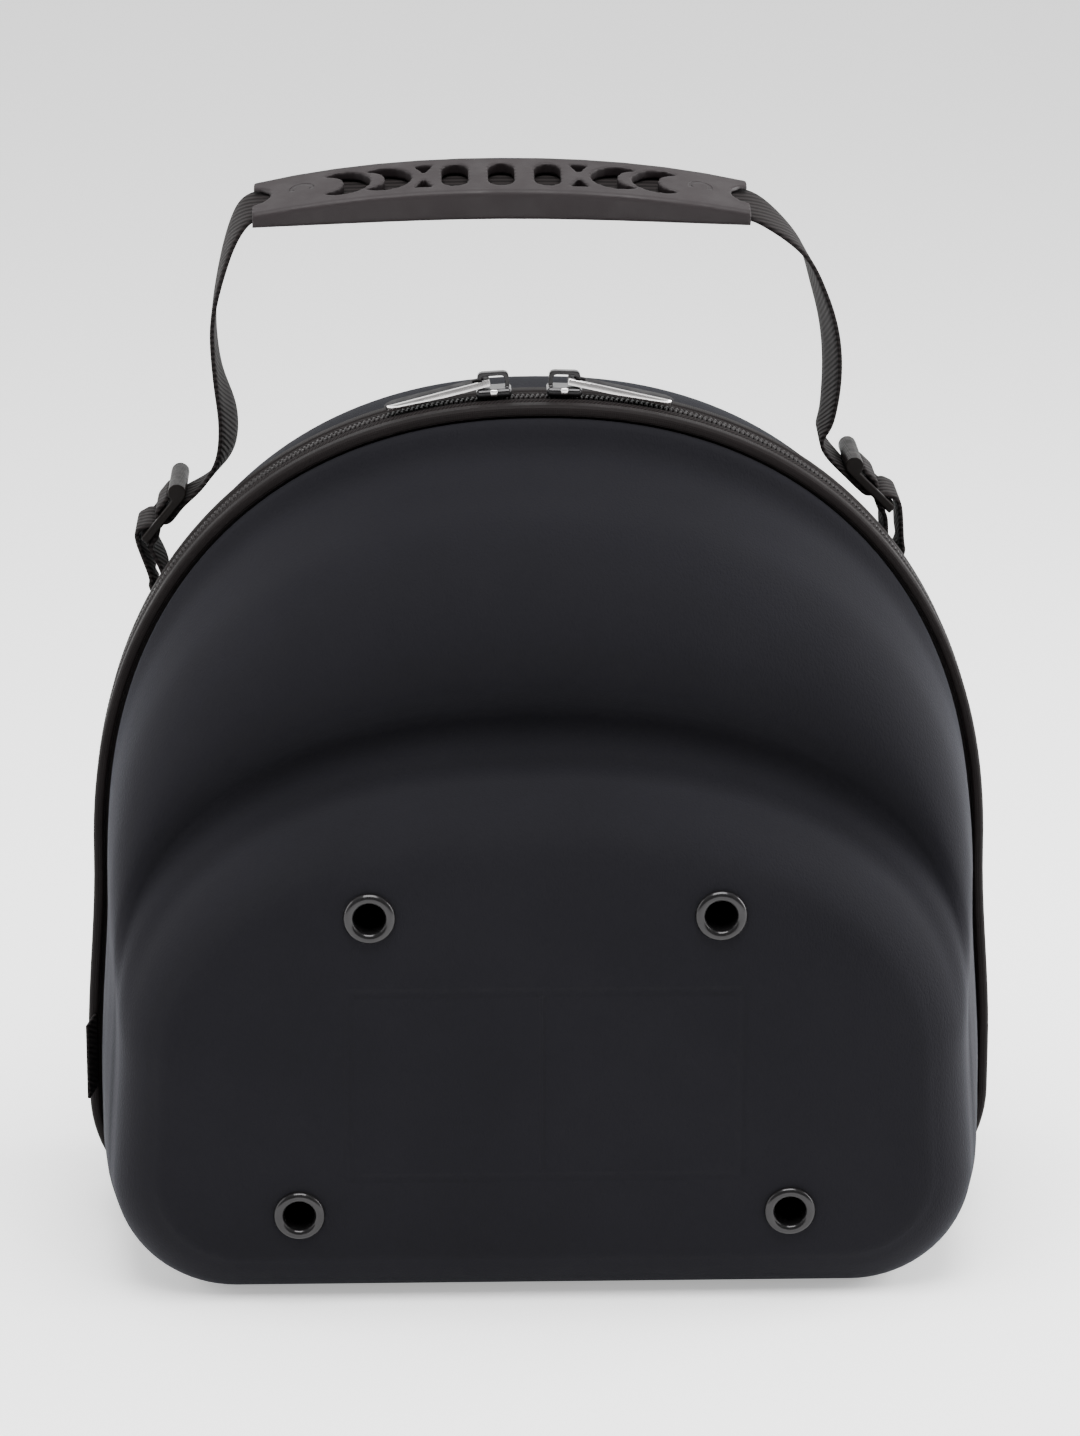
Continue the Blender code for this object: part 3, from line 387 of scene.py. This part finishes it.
tape_finish = binding_tape()
zip_finish = zip_tape()
web_finish = webbing()
rubber_finish = grip_rubber()
coil_finish = smooth_finish(
    "zip_coil", (0.0040, 0.0030, 0.0030), (0.0100, 0.0078, 0.0078), 0.40, 0.56, Specular_IOR_Level=0.2
)
black_metal = smooth_finish(
    "black_metal", (0.010, 0.0095, 0.010), (0.022, 0.021, 0.022), 0.14, 0.24, Metallic=0.6
)
dark_plate = smooth_finish(
    "dark_plate", (0.006, 0.0055, 0.006), (0.013, 0.012, 0.013), 0.45, 0.60, Specular_IOR_Level=0.08
)
# Near-white polished metal, used as painted highlight on the pull strips and on the slider noses.
painted_highlight_metal = smooth_finish("painted_highlight_metal", (0.80, 0.77, 0.76), (0.92, 0.89, 0.88), 0.12, 0.22, Metallic=1.0)
lock_finish = ribbed_plastic("lock_plastic", (0.003, 0.0024, 0.0022), (0.007, 0.0055, 0.005), 0.34, 0.48)
label_finish = webbing()
label_finish.name = "label_cloth"
print("finishes:", len(bpy.data.materials))

# %% [markdown]
# Every shape below is added to the scene in the same way: one object is made active alone, it is
# finished with modifiers that are applied, it is shaded smooth, and it rides on the body that
# carries it. The plain solid it stands for, if any, is hidden.

# %% Helpers for pieces
def only(piece):
    bpy.ops.object.select_all(action="DESELECT")
    piece.select_set(True)
    bpy.context.view_layer.objects.active = piece


def apply_modifier(piece, kind, **settings):
    only(piece)
    made = piece.modifiers.new(kind.lower(), kind)
    for key, value in settings.items():
        setattr(made, key, value)
    bpy.ops.object.modifier_apply(modifier=made.name)


def new_piece(name, shape):
    mesh = bpy.data.meshes.new(name)
    shape.to_mesh(mesh)
    shape.free()
    piece = bpy.data.objects.new(name, mesh)
    bpy.context.scene.collection.objects.link(piece)
    return piece


def dress(piece, finish, node=None, body="case", angle=40):
    piece.data.materials.clear()
    piece.data.materials.append(finish)
    only(piece)
    bpy.ops.object.shade_smooth_by_angle(angle=math.radians(angle))
    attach(piece, body)
    if node:
        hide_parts(node)
    print(piece.name, "faces:", len(piece.data.polygons))
    return piece


def merged_copy(node, name):
    """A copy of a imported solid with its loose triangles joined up."""
    piece = frame["nodes"][node].copy()
    piece.data = piece.data.copy()
    piece.name = name
    piece.parent = None
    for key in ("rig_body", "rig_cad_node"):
        del piece[key]
    bpy.context.scene.collection.objects.link(piece)
    only(piece)
    bpy.ops.object.mode_set(mode="EDIT")
    bpy.ops.mesh.select_all(action="SELECT")
    bpy.ops.mesh.remove_doubles(threshold=0.00002)
    bpy.ops.object.mode_set(mode="OBJECT")
    return piece


def mix(low, high, share):
    return low + (high - low) * share


def smooth_step(share):
    share = min(max(share, 0.0), 1.0)
    return share * share * (3.0 - 2.0 * share)


# %% [markdown]
# The case is a D standing on its flat side. Its crown is a flattened arch, its sides flare a
# little and its lower corners are round. One function gives that line for any ring of a shell,
# and it is drawn four times finer than the plain solids have it.

# %% The D line
SEAM_HALF_WIDTH = 0.1432
SEAM_CROWN = 0.281
SEAM_SHOULDER = 0.133
SEAM_CORNER = 0.040
SEAM_FLARE = 0.0034
FLARE_DEPTH = 0.068
GUTTER = 0.008
SQUARENESS = 0.9
FINE = 4
STEPS = {"crown": 12 * FINE, "side": 3 * FINE, "corner": 5 * FINE, "base": 3 * FINE}


def arc(centre, radius, start, end, steps):
    angles = [math.radians(mix(start, end, step / steps)) for step in range(steps + 1)]
    return [(centre[0] + radius * math.cos(a), centre[1] + radius * math.sin(a)) for a in angles]


def d_line(side, crown, shoulder, foot, corner):
    half = []
    for step in range(STEPS["crown"]):
        turn = math.pi / 2 * (1 - step / STEPS["crown"])
        half.append((side * math.cos(turn) ** SQUARENESS, mix(shoulder, crown, math.sin(turn) ** SQUARENESS)))
    for step in range(STEPS["side"]):
        height = mix(shoulder, foot + corner, step / STEPS["side"])
        half.append((side + SEAM_FLARE * smooth_step((shoulder - height) / FLARE_DEPTH), height))
    low_side = side + SEAM_FLARE * smooth_step((shoulder - foot - corner) / FLARE_DEPTH)
    half += arc((low_side - corner, foot + corner), corner, 0, -90, STEPS["corner"])[:-1]
    for step in range(STEPS["base"] + 1):
        half.append(((low_side - corner) * (1 - step / STEPS["base"]), foot))
    return half + [(-x, z) for x, z in half[-2:0:-1]]


seam = d_line(SEAM_HALF_WIDTH, SEAM_CROWN, SEAM_SHOULDER, GUTTER, SEAM_CORNER)
print("points round the seam:", len(seam))

# %% [markdown]
# A shell is a loft: rings of the same D are stepped forward from the seam, over the bulge, down
# into the valley, over the ledge and onto the flat face. The rows below are the few rings that
# matter, and rings between them are read from a smooth curve through them. A mesh of rings is
# easier to control here than pulling a primitive about, so the skin is made in code, and
# Solidify gives it its wall.

# %% Rings of the shells
COLUMNS = ("crown", "shoulder", "top", "low", "inset", "foot", "corner")
FRONT_RINGS = (
    (1.000, 1.00, 0.125, 0.125, 0.00, 0.32, 1.00),
    (1.000, 1.00, 0.163, 0.163, 0.00, 0.32, 1.00),
    (0.965, 0.99, 0.205, 0.262, 0.01, 0.00, 1.05),
    (0.936, 0.96, 0.341, 0.352, 0.02, 0.00, 1.05),
    (0.900, 0.93, 0.500, 0.432, 0.05, 0.00, 1.05),
    (0.843, 0.89, 0.619, 0.500, 0.07, 0.00, 1.05),
    (0.783, 0.84, 0.665, 0.568, 0.10, 0.00, 1.02),
    (0.733, 0.80, 0.642, 0.625, 0.13, 0.00, 1.02),
    (0.703, 0.75, 0.574, 0.670, 0.16, 0.00, 1.00),
    (0.678, 0.71, 0.523, 0.716, 0.18, 0.00, 1.00),
    (0.646, 0.68, 0.619, 0.784, 0.22, 0.04, 0.97),
    (0.628, 0.65, 0.670, 0.852, 0.30, 0.13, 0.94),
    (0.614, 0.63, 0.795, 0.915, 0.44, 0.30, 0.87),
    (0.587, 0.61, 0.920, 0.966, 0.66, 0.53, 0.76),
    (0.548, 0.58, 0.989, 0.995, 1.00, 0.83, 0.60),
    (0.463, 0.58, 1.000, 1.000, 2.34, 2.00, 0.45),
    (0.374, 0.64, 1.000, 1.000, 4.14, 3.00, 0.20),
)
BACK_RINGS = (
    (1.000, 1.00, 0.147, 0.147, 0.00, 0.31, 1.00),
    (1.000, 1.00, 0.191, 0.191, 0.00, 0.31, 1.00),
    (0.999, 1.00, 0.300, 0.300, 0.02, 0.00, 1.05),
    (0.999, 1.00, 0.587, 0.587, 0.05, 0.00, 1.05),
    (0.995, 0.99, 0.747, 0.747, 0.12, 0.06, 1.02),
    (0.975, 0.98, 0.861, 0.861, 0.33, 0.23, 0.95),
    (0.949, 0.96, 0.948, 0.948, 0.60, 0.50, 0.82),
    (0.909, 0.94, 0.995, 0.995, 0.93, 0.83, 0.68),
    (0.783, 0.90, 1.000, 1.000, 2.25, 1.92, 0.45),
    (0.641, 0.90, 1.000, 1.000, 4.00, 3.46, 0.20),
)


def smooth_rows(rows, steps):
    """Rows between the given ones, read from a Catmull-Rom curve through each column."""
    ends = [rows[0], *rows, rows[-1]]
    line = []
    for index in range(1, len(ends) - 2):
        a, b, c, d = ends[index - 1:index + 3]
        for step in range(steps):
            t = step / steps
            line.append([
                0.5 * (2 * q + (r - p) * t + (2 * p - 5 * q + 4 * r - s) * t ** 2
                       + (3 * q - p - 3 * r + s) * t ** 3)
                for p, q, r, s in zip(a, b, c, d)
            ])
    line.append(list(rows[-1]))
    return line


# %% Loft a shell
WALL = 0.004
PANEL_LEAN = 0.10
PANEL_TOP = 0.163
SHELLS = (
    {"name": "front_shell_cloth", "node": "front_shell", "rings": FRONT_RINGS, "depth": 0.088, "edge": 0.025,
     "towards": -1, "finish": front_cloth},
    {"name": "back_shell_cloth", "node": "back_shell", "rings": BACK_RINGS, "depth": 0.075, "edge": 0.026,
     "towards": 1, "finish": back_cloth},
)


def shell_skin(row):
    skin = bmesh.new()
    before = None
    for values in smooth_rows(row["rings"], 4):
        ring = dict(zip(COLUMNS, values))
        crown = ring["crown"] * SEAM_CROWN
        shoulder = ring["shoulder"] * SEAM_SHOULDER
        side = SEAM_HALF_WIDTH - ring["inset"] * row["edge"]
        foot = max(ring["foot"], 0.0) * row["edge"]
        points = []
        for x, z in d_line(side, crown, shoulder, foot, ring["corner"] * SEAM_CORNER):
            share = smooth_step((z - shoulder) / (crown - shoulder))
            out = mix(ring["low"], ring["top"], share) * row["depth"]
            if row["towards"] < 0:
                out *= 1 - PANEL_LEAN * ring["low"] ** 2 * max(0.0, 1 - z / PANEL_TOP)
            points.append(skin.verts.new((x, SEAM_Y + row["towards"] * out, z)))
        if before:
            for step in range(len(points)):
                after = (step + 1) % len(points)
                skin.faces.new((before[step], before[after], points[after], points[step]))
        before = points
    middle = skin.verts.new(sum((v.co for v in before), Vector()) / len(before))
    for step in range(len(before)):
        skin.faces.new((before[step], before[(step + 1) % len(before)], middle))
    bmesh.ops.recalc_face_normals(skin, faces=skin.faces)
    outermost = max(skin.faces, key=lambda face: row["towards"] * face.calc_center_median().y)
    if outermost.normal.y * row["towards"] < 0:
        bmesh.ops.reverse_faces(skin, faces=skin.faces)
    return skin


skins = {}
for row in SHELLS:
    piece = new_piece(row["name"], shell_skin(row))
    skins[row["node"]] = piece
    apply_modifier(piece, "SOLIDIFY", thickness=WALL, offset=-1, use_even_offset=True)

# %% [markdown]
# Four metal eyelets vent the front. Each is a ring rolled over from a short tube. The profile is
# spun round its axis, then the ring is laid on the cloth where a ray from the front meets it, and
# a hole is cut behind it. Spinning is how the real part is formed, and it keeps the lip round.

# %% Eyelets
EYELETS = (
    {"name": "upper_left", "x": -0.0562, "z": 0.136},
    {"name": "upper_right", "x": 0.0562, "z": 0.136},
    {"name": "lower_left", "x": -0.0800, "z": 0.032},
    {"name": "lower_right", "x": 0.0800, "z": 0.032},
)
LIP_OUTER = 0.0085
LIP_INNER = 0.0050
LIP_HEIGHT = 0.0017


def eyelet_ring(name, place):
    """Spins the section of a rolled lip with its tube, and lays it on the cloth."""
    middle = (LIP_OUTER + LIP_INNER) / 2
    half = (LIP_OUTER - LIP_INNER) / 2
    section = [
        (middle + half * math.cos(a), 0.0, LIP_HEIGHT * math.sin(a))
        for a in [math.pi * step / 14 for step in range(15)]
    ]
    section += [(LIP_INNER, 0.0, -0.0055), (LIP_INNER + 0.0006, 0.0, -0.0055), (LIP_INNER + 0.0006, 0.0, 0.0)]
    bpy.ops.object.select_all(action="DESELECT")
    bpy.ops.mesh.primitive_plane_add(size=0.001)
    ring = bpy.context.object
    ring.name = name
    ring.data.clear_geometry()
    edges = [(step, (step + 1) % len(section)) for step in range(len(section))]
    ring.data.from_pydata(section, edges, [])
    bpy.ops.object.mode_set(mode="EDIT")
    bpy.ops.mesh.select_all(action="SELECT")
    bpy.ops.mesh.spin(steps=64, angle=2 * math.pi, center=(0, 0, 0), axis=(0, 0, 1))
    bpy.ops.mesh.select_all(action="SELECT")
    bpy.ops.mesh.remove_doubles(threshold=0.00001)
    bpy.ops.mesh.normals_make_consistent(inside=False)
    bpy.ops.object.mode_set(mode="OBJECT")
    ring.data.transform(place)
    return ring


look = bmesh.new()
look.from_mesh(skins["front_shell"].data)
front_tree = BVHTree.FromBMesh(look)
look.free()
for row in EYELETS:
    spot, normal, _, _ = front_tree.ray_cast(Vector((row["x"], -0.3, row["z"])), Vector((0.0, 1.0, 0.0)))
    place = Matrix.Translation(spot) @ normal.to_track_quat("Z", "Y").to_matrix().to_4x4()
    bpy.ops.object.select_all(action="DESELECT")
    bpy.ops.mesh.primitive_cylinder_add(vertices=48, radius=0.0059, depth=0.030)
    punch = bpy.context.object
    punch.data.transform(place)
    apply_modifier(skins["front_shell"], "BOOLEAN", object=punch, operation="DIFFERENCE", solver="EXACT")
    bpy.data.objects.remove(punch)
    ring = eyelet_ring("eyelet_ring_" + row["name"], place)
    dress(ring, black_metal, "eyelet_" + row["name"], angle=60)

for row in SHELLS:
    dress(skins[row["node"]], row["finish"], row["node"], angle=50)

# %% [markdown]
# Everything on the seam is a strip that runs round the D: two bindings, two tapes and the coil.
# Each is a profile carried along the seam, with a UV map in metres so that weave and stitches
# follow it. The frames below give a point, its direction along and its direction outward.

# %% Sweep along the seam
def seam_frames(line):
    frames = []
    length = 0.0
    for index, (x, z) in enumerate(line):
        before = line[index - 1]
        after = line[(index + 1) % len(line)]
        along = Vector((after[0] - before[0], 0.0, after[1] - before[1])).normalized()
        frames.append((Vector((x, SEAM_Y, z)), Vector((-along.z, 0.0, along.x)), length))
        length += math.dist((x, z), after)
    return frames


def sweep(name, profile, frames, closed):
    """Carries a closed profile of (outward, forward) points along the frames."""
    strip = bmesh.new()
    layer = strip.loops.layers.uv.new("seam")
    rows = [
        [strip.verts.new(point + outward * out + Vector((0.0, -forward, 0.0))) for out, forward in profile]
        for point, outward, _ in frames
    ]
    across = [0.0]
    for step in range(len(profile)):
        across.append(across[-1] + math.dist(profile[step], profile[(step + 1) % len(profile)]))
    pitch = frames[1][2] - frames[0][2]
    for row in range(len(rows) if closed else len(rows) - 1):
        start = frames[row][2]
        end = frames[row + 1][2] if row + 1 < len(rows) else start + pitch
        for step in range(len(profile)):
            after = (step + 1) % len(profile)
            there = rows[(row + 1) % len(rows)]
            face = strip.faces.new((rows[row][step], rows[row][after], there[after], there[step]))
            left, right = across[step], across[step + 1]
            corners = ((start, left), (start, right), (end, right), (end, left))
            for loop, place in zip(face.loops, corners):
                loop[layer].uv = place
    if not closed:
        strip.faces.new(rows[0][::-1])
        strip.faces.new(rows[-1])
    bmesh.ops.recalc_face_normals(strip, faces=strip.faces)
    return new_piece(name, strip)


frames = seam_frames(seam)
zip_steps = STEPS["crown"] + STEPS["side"] + STEPS["corner"]
zipped = frames[-zip_steps:] + frames[:zip_steps + 1]
lengths = [0.0]
for first, second in zip(zipped, zipped[1:]):
    lengths.append(lengths[-1] + (second[0] - first[0]).length)
zipped = [(point, outward, length) for (point, outward, _), length in zip(zipped, lengths)]
print("zip length:", round(lengths[-1], 4))

# %% [markdown]
# The binding is a folded tape that hides the raw edge of each shell. Seen from the front it is a
# satin band with a dark groove on its inner side. Its lip is rounded, and its tongue goes in
# behind the shell's edge.

# %% Bindings
def binding_profile(towards):
    outer = 0.0050
    rear, front = 0.0073, 0.0138
    groove = 0.0014
    soft = 0.0016
    points = [(-0.0035, rear)]
    points += arc((outer - soft, rear + soft), soft, -90, 0, 6)
    points += arc((outer - soft, front - soft), soft, 0, 90, 6)
    points += arc((groove + soft * 0.8, front - soft * 0.8), soft * 0.8, 90, 180, 6)
    points += [(groove, 0.0107), (-0.0035, 0.0107)]
    return [(out, towards * forward) for out, forward in points]


for name, towards in (("front_binding", 1), ("back_binding", -1)):
    band = sweep(name + "_tape", binding_profile(towards), frames, closed=True)
    dress(band, tape_finish, name, angle=50)

# %% [markdown]
# Between the bindings lies the zip: twill tape on each side with a sewn line, and a coil of
# nylon teeth down the middle. The tapes run in under the bindings, so no light comes through
# between them. The teeth are one small rounded bar, copied along the seam in two
# rows that lean against each other.

# %% Zip tapes
def tape_profile(towards):
    points = (
        (0.0036, 0.0028), (0.0030, 0.0080), (0.0040, 0.0080),
        (0.0047, 0.0068), (0.0050, 0.0049), (0.0048, 0.0028),
    )
    return [(out, towards * forward) for out, forward in points]


for name, towards in (("zip_tape_front", 1), ("zip_tape_back", -1)):
    band = sweep(name + "_twill", tape_profile(towards), zipped, closed=False)
    dress(band, zip_finish, name, angle=30)

# %% Zip coil
TOOTH_PITCH = 0.0016
TOOTH_SIZE = (0.00105, 0.0027, 0.0013)
TOOTH_ROUND = 0.00034
TOOTH_SLANT = 14
TOOTH_RISE = 0.0046
TOOTH_ASIDE = 0.00122


def frame_at(distance):
    """A frame at any distance along the zip."""
    for first, second in zip(zipped, zipped[1:]):
        if second[2] >= distance:
            share = (distance - first[2]) / (second[2] - first[2])
            point = first[0].lerp(second[0], share)
            outward = first[1].lerp(second[1], share).normalized()
            return point, outward
    return zipped[-1][0], zipped[-1][1]


tooth = bmesh.new()
bmesh.ops.create_cube(tooth, size=1.0)
bmesh.ops.scale(tooth, vec=TOOTH_SIZE, verts=tooth.verts)
bmesh.ops.bevel(tooth, geom=tooth.edges[:], offset=TOOTH_ROUND, segments=1, affect="EDGES")
tooth.verts.ensure_lookup_table()
tooth_points = [v.co.copy() for v in tooth.verts]
tooth_faces = [[v.index for v in face.verts] for face in tooth.faces]
tooth.free()

coil_points = []
coil_faces = []
distance = TOOTH_PITCH
while distance < lengths[-1] - TOOTH_PITCH:
    for side in (-1, 1):
        point, outward = frame_at(distance + side * TOOTH_PITCH / 4)
        along = Vector((0.0, 1.0, 0.0)).cross(outward)
        turn = Matrix((along, (0.0, 1.0, 0.0), outward)).transposed()
        slant = Matrix.Rotation(math.radians(TOOTH_SLANT * side), 3, "Z")
        centre = point + outward * TOOTH_RISE + Vector((0.0, side * TOOTH_ASIDE, 0.0))
        base = len(coil_points)
        coil_points += [centre + turn @ (slant @ corner) for corner in tooth_points]
        coil_faces += [[base + index for index in face] for face in tooth_faces]
    distance += TOOTH_PITCH

teeth = bpy.data.meshes.new("zip_teeth")
teeth.from_pydata(coil_points, [], coil_faces)
coil = bpy.data.objects.new("zip_teeth", teeth)
bpy.context.scene.collection.objects.link(coil)
core_profile = [(0.0029, -0.0024), (0.0041, -0.0024), (0.0041, 0.0024), (0.0029, 0.0024)]
core = sweep("zip_core", core_profile, zipped, closed=False)
dress(core, coil_finish, angle=40)
dress(coil, coil_finish, "zip_chain", angle=60)
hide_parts("zip_chain")

# %% [markdown]
# Small moulded and cast parts have no sharp edges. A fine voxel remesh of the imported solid,
# followed by a few rounds of smoothing, rounds every edge a little, as a mould or polishing
# does. It suits the sliders, the strap locks and the pierced rubber grip.

# %% Helper for moulded parts
def moulded(node, name, voxel, rounds, finish, body="case"):
    piece = merged_copy(node, name)
    apply_modifier(piece, "REMESH", mode="VOXEL", voxel_size=voxel, use_smooth_shade=True)
    apply_modifier(piece, "SMOOTH", factor=0.5, iterations=rounds)
    return dress(piece, finish, node, body, angle=180)


for side in ("left", "right"):
    moulded("slider_" + side, "slider_cast_" + side, 0.00022, 4, black_metal)
    moulded("ladder_lock_" + side, "ladder_lock_moulded_" + side, 0.00035, 4, lock_finish)
moulded("handle_grip", "grip_moulded", 0.00055, 3, rubber_finish)

# %% [markdown]
# Each pull is a dark plate with a bright strip along its near edge. The strip is a painted
# highlight: near-white metal in place of the light caught by the near edge of the dark pull. It is
# the near side of the imported plate, cut off and grown by a tenth of a millimetre. Both pieces turn
# on the slider, so they ride on the pull's body. A small bright block at the front of each slider is
# a painted highlight on the slider's nose.

# %% Pulls with painted highlight strips, and painted highlights on the slider noses
HIGHLIGHT_STRIP_DEPTH = 0.0019
HIGHLIGHT_STRIP_PROUD = 0.00012
NOSE_HIGHLIGHT_SIZE = (0.0024, 0.0010, 0.0022)
NOSE_HIGHLIGHT_RISE = 0.0022


def soften(piece, width):
    """Rounds the sharp edges of a metal piece."""
    apply_modifier(
        piece, "BEVEL", width=width, segments=2, limit_method="ANGLE", angle_limit=math.radians(40)
    )



for side in ("left", "right"):
    body = "pull_" + side
    plate = merged_copy(body, "pull_plate_" + side)
    edge = merged_copy(body, "pull_highlight_strip_" + side)
    soften(plate, 0.0003)
    dress(plate, dark_plate, body, body, angle=30)

    # Painted highlight: the near strip of the dark pull is cut off and made near-white metal.
    near = min(vertex.co.y for vertex in edge.data.vertices)
    cut = bmesh.new()
    cut.from_mesh(edge.data)
    bmesh.ops.bisect_plane(
        cut, geom=cut.verts[:] + cut.edges[:] + cut.faces[:],
        plane_co=(0.0, near + HIGHLIGHT_STRIP_DEPTH, 0.0), plane_no=(0.0, 1.0, 0.0), clear_outer=True,
    )
    bmesh.ops.holes_fill(cut, edges=[line for line in cut.edges if line.is_boundary])
    bmesh.ops.recalc_face_normals(cut, faces=cut.faces)
    cut.to_mesh(edge.data)
    cut.free()
    apply_modifier(edge, "DISPLACE", strength=HIGHLIGHT_STRIP_PROUD, mid_level=0.0)
    soften(edge, 0.0002)
    dress(edge, painted_highlight_metal, None, body, angle=30)

    corners = [Vector(corner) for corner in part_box("slider_" + side)]
    front = min(corner.y for corner in corners)
    foot = min(corner.z for corner in corners)
    across = sum(corner.x for corner in corners) / len(corners)
    # Painted highlight: a near-white metal block on the front of each dark slider, where its nose catches the
    # light.
    bpy.ops.object.select_all(action="DESELECT")
    bpy.ops.mesh.primitive_cube_add(size=1.0)
    nose_highlight = bpy.context.object
    nose_highlight.name = "slider_nose_highlight_" + side
    nose_highlight.data.transform(Matrix.LocRotScale((across, front, foot + NOSE_HIGHLIGHT_RISE), None, NOSE_HIGHLIGHT_SIZE))
    apply_modifier(nose_highlight, "BEVEL", width=0.0004, segments=3)
    dress(nose_highlight, painted_highlight_metal, None, "case", angle=30)

# %% [markdown]
# The strap and the loops that hold its locks are woven webbing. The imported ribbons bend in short
# steps, so a subdivision surface rounds the bends while creases keep the ribbon's edges square.

# %% Webbing
def woven(node, name, finish):
    piece = merged_copy(node, name)
    only(piece)
    bpy.ops.object.mode_set(mode="EDIT")
    bpy.ops.mesh.select_all(action="SELECT")
    bpy.ops.mesh.tris_convert_to_quads(face_threshold=math.radians(60), shape_threshold=math.radians(60))
    bpy.ops.mesh.select_mode(type="EDGE")
    bpy.ops.mesh.select_all(action="DESELECT")
    bpy.ops.mesh.edges_select_sharp(sharpness=math.radians(62))
    bpy.ops.transform.edge_crease(value=0.85)
    bpy.ops.object.mode_set(mode="OBJECT")
    apply_modifier(piece, "SUBSURF", levels=2, render_levels=2)
    return dress(piece, finish, node, angle=50)


woven("handle_strap", "strap_webbing", web_finish)
for side in ("left", "right"):
    woven("anchor_tab_" + side, "anchor_webbing_" + side, web_finish)

# %% [markdown]
# A small folded label is pinched beside the front binding. It is a plain scrap of black cloth
# with a soft edge.

# %% Label
label = merged_copy("side_label", "label_plain")
apply_modifier(label, "BEVEL", width=0.0002, segments=2, limit_method="ANGLE")
dress(label, label_finish, "side_label", angle=30)

# %% [markdown]
# What stays of the imported model needs a finish too. Only the cloth hinge under the case does,
# and it gets the webbing's finish.

# %% Hinge strip
hinge = frame["nodes"]["hinge_strip"]
hinge.data.materials.clear()
hinge.data.materials.append(web_finish)
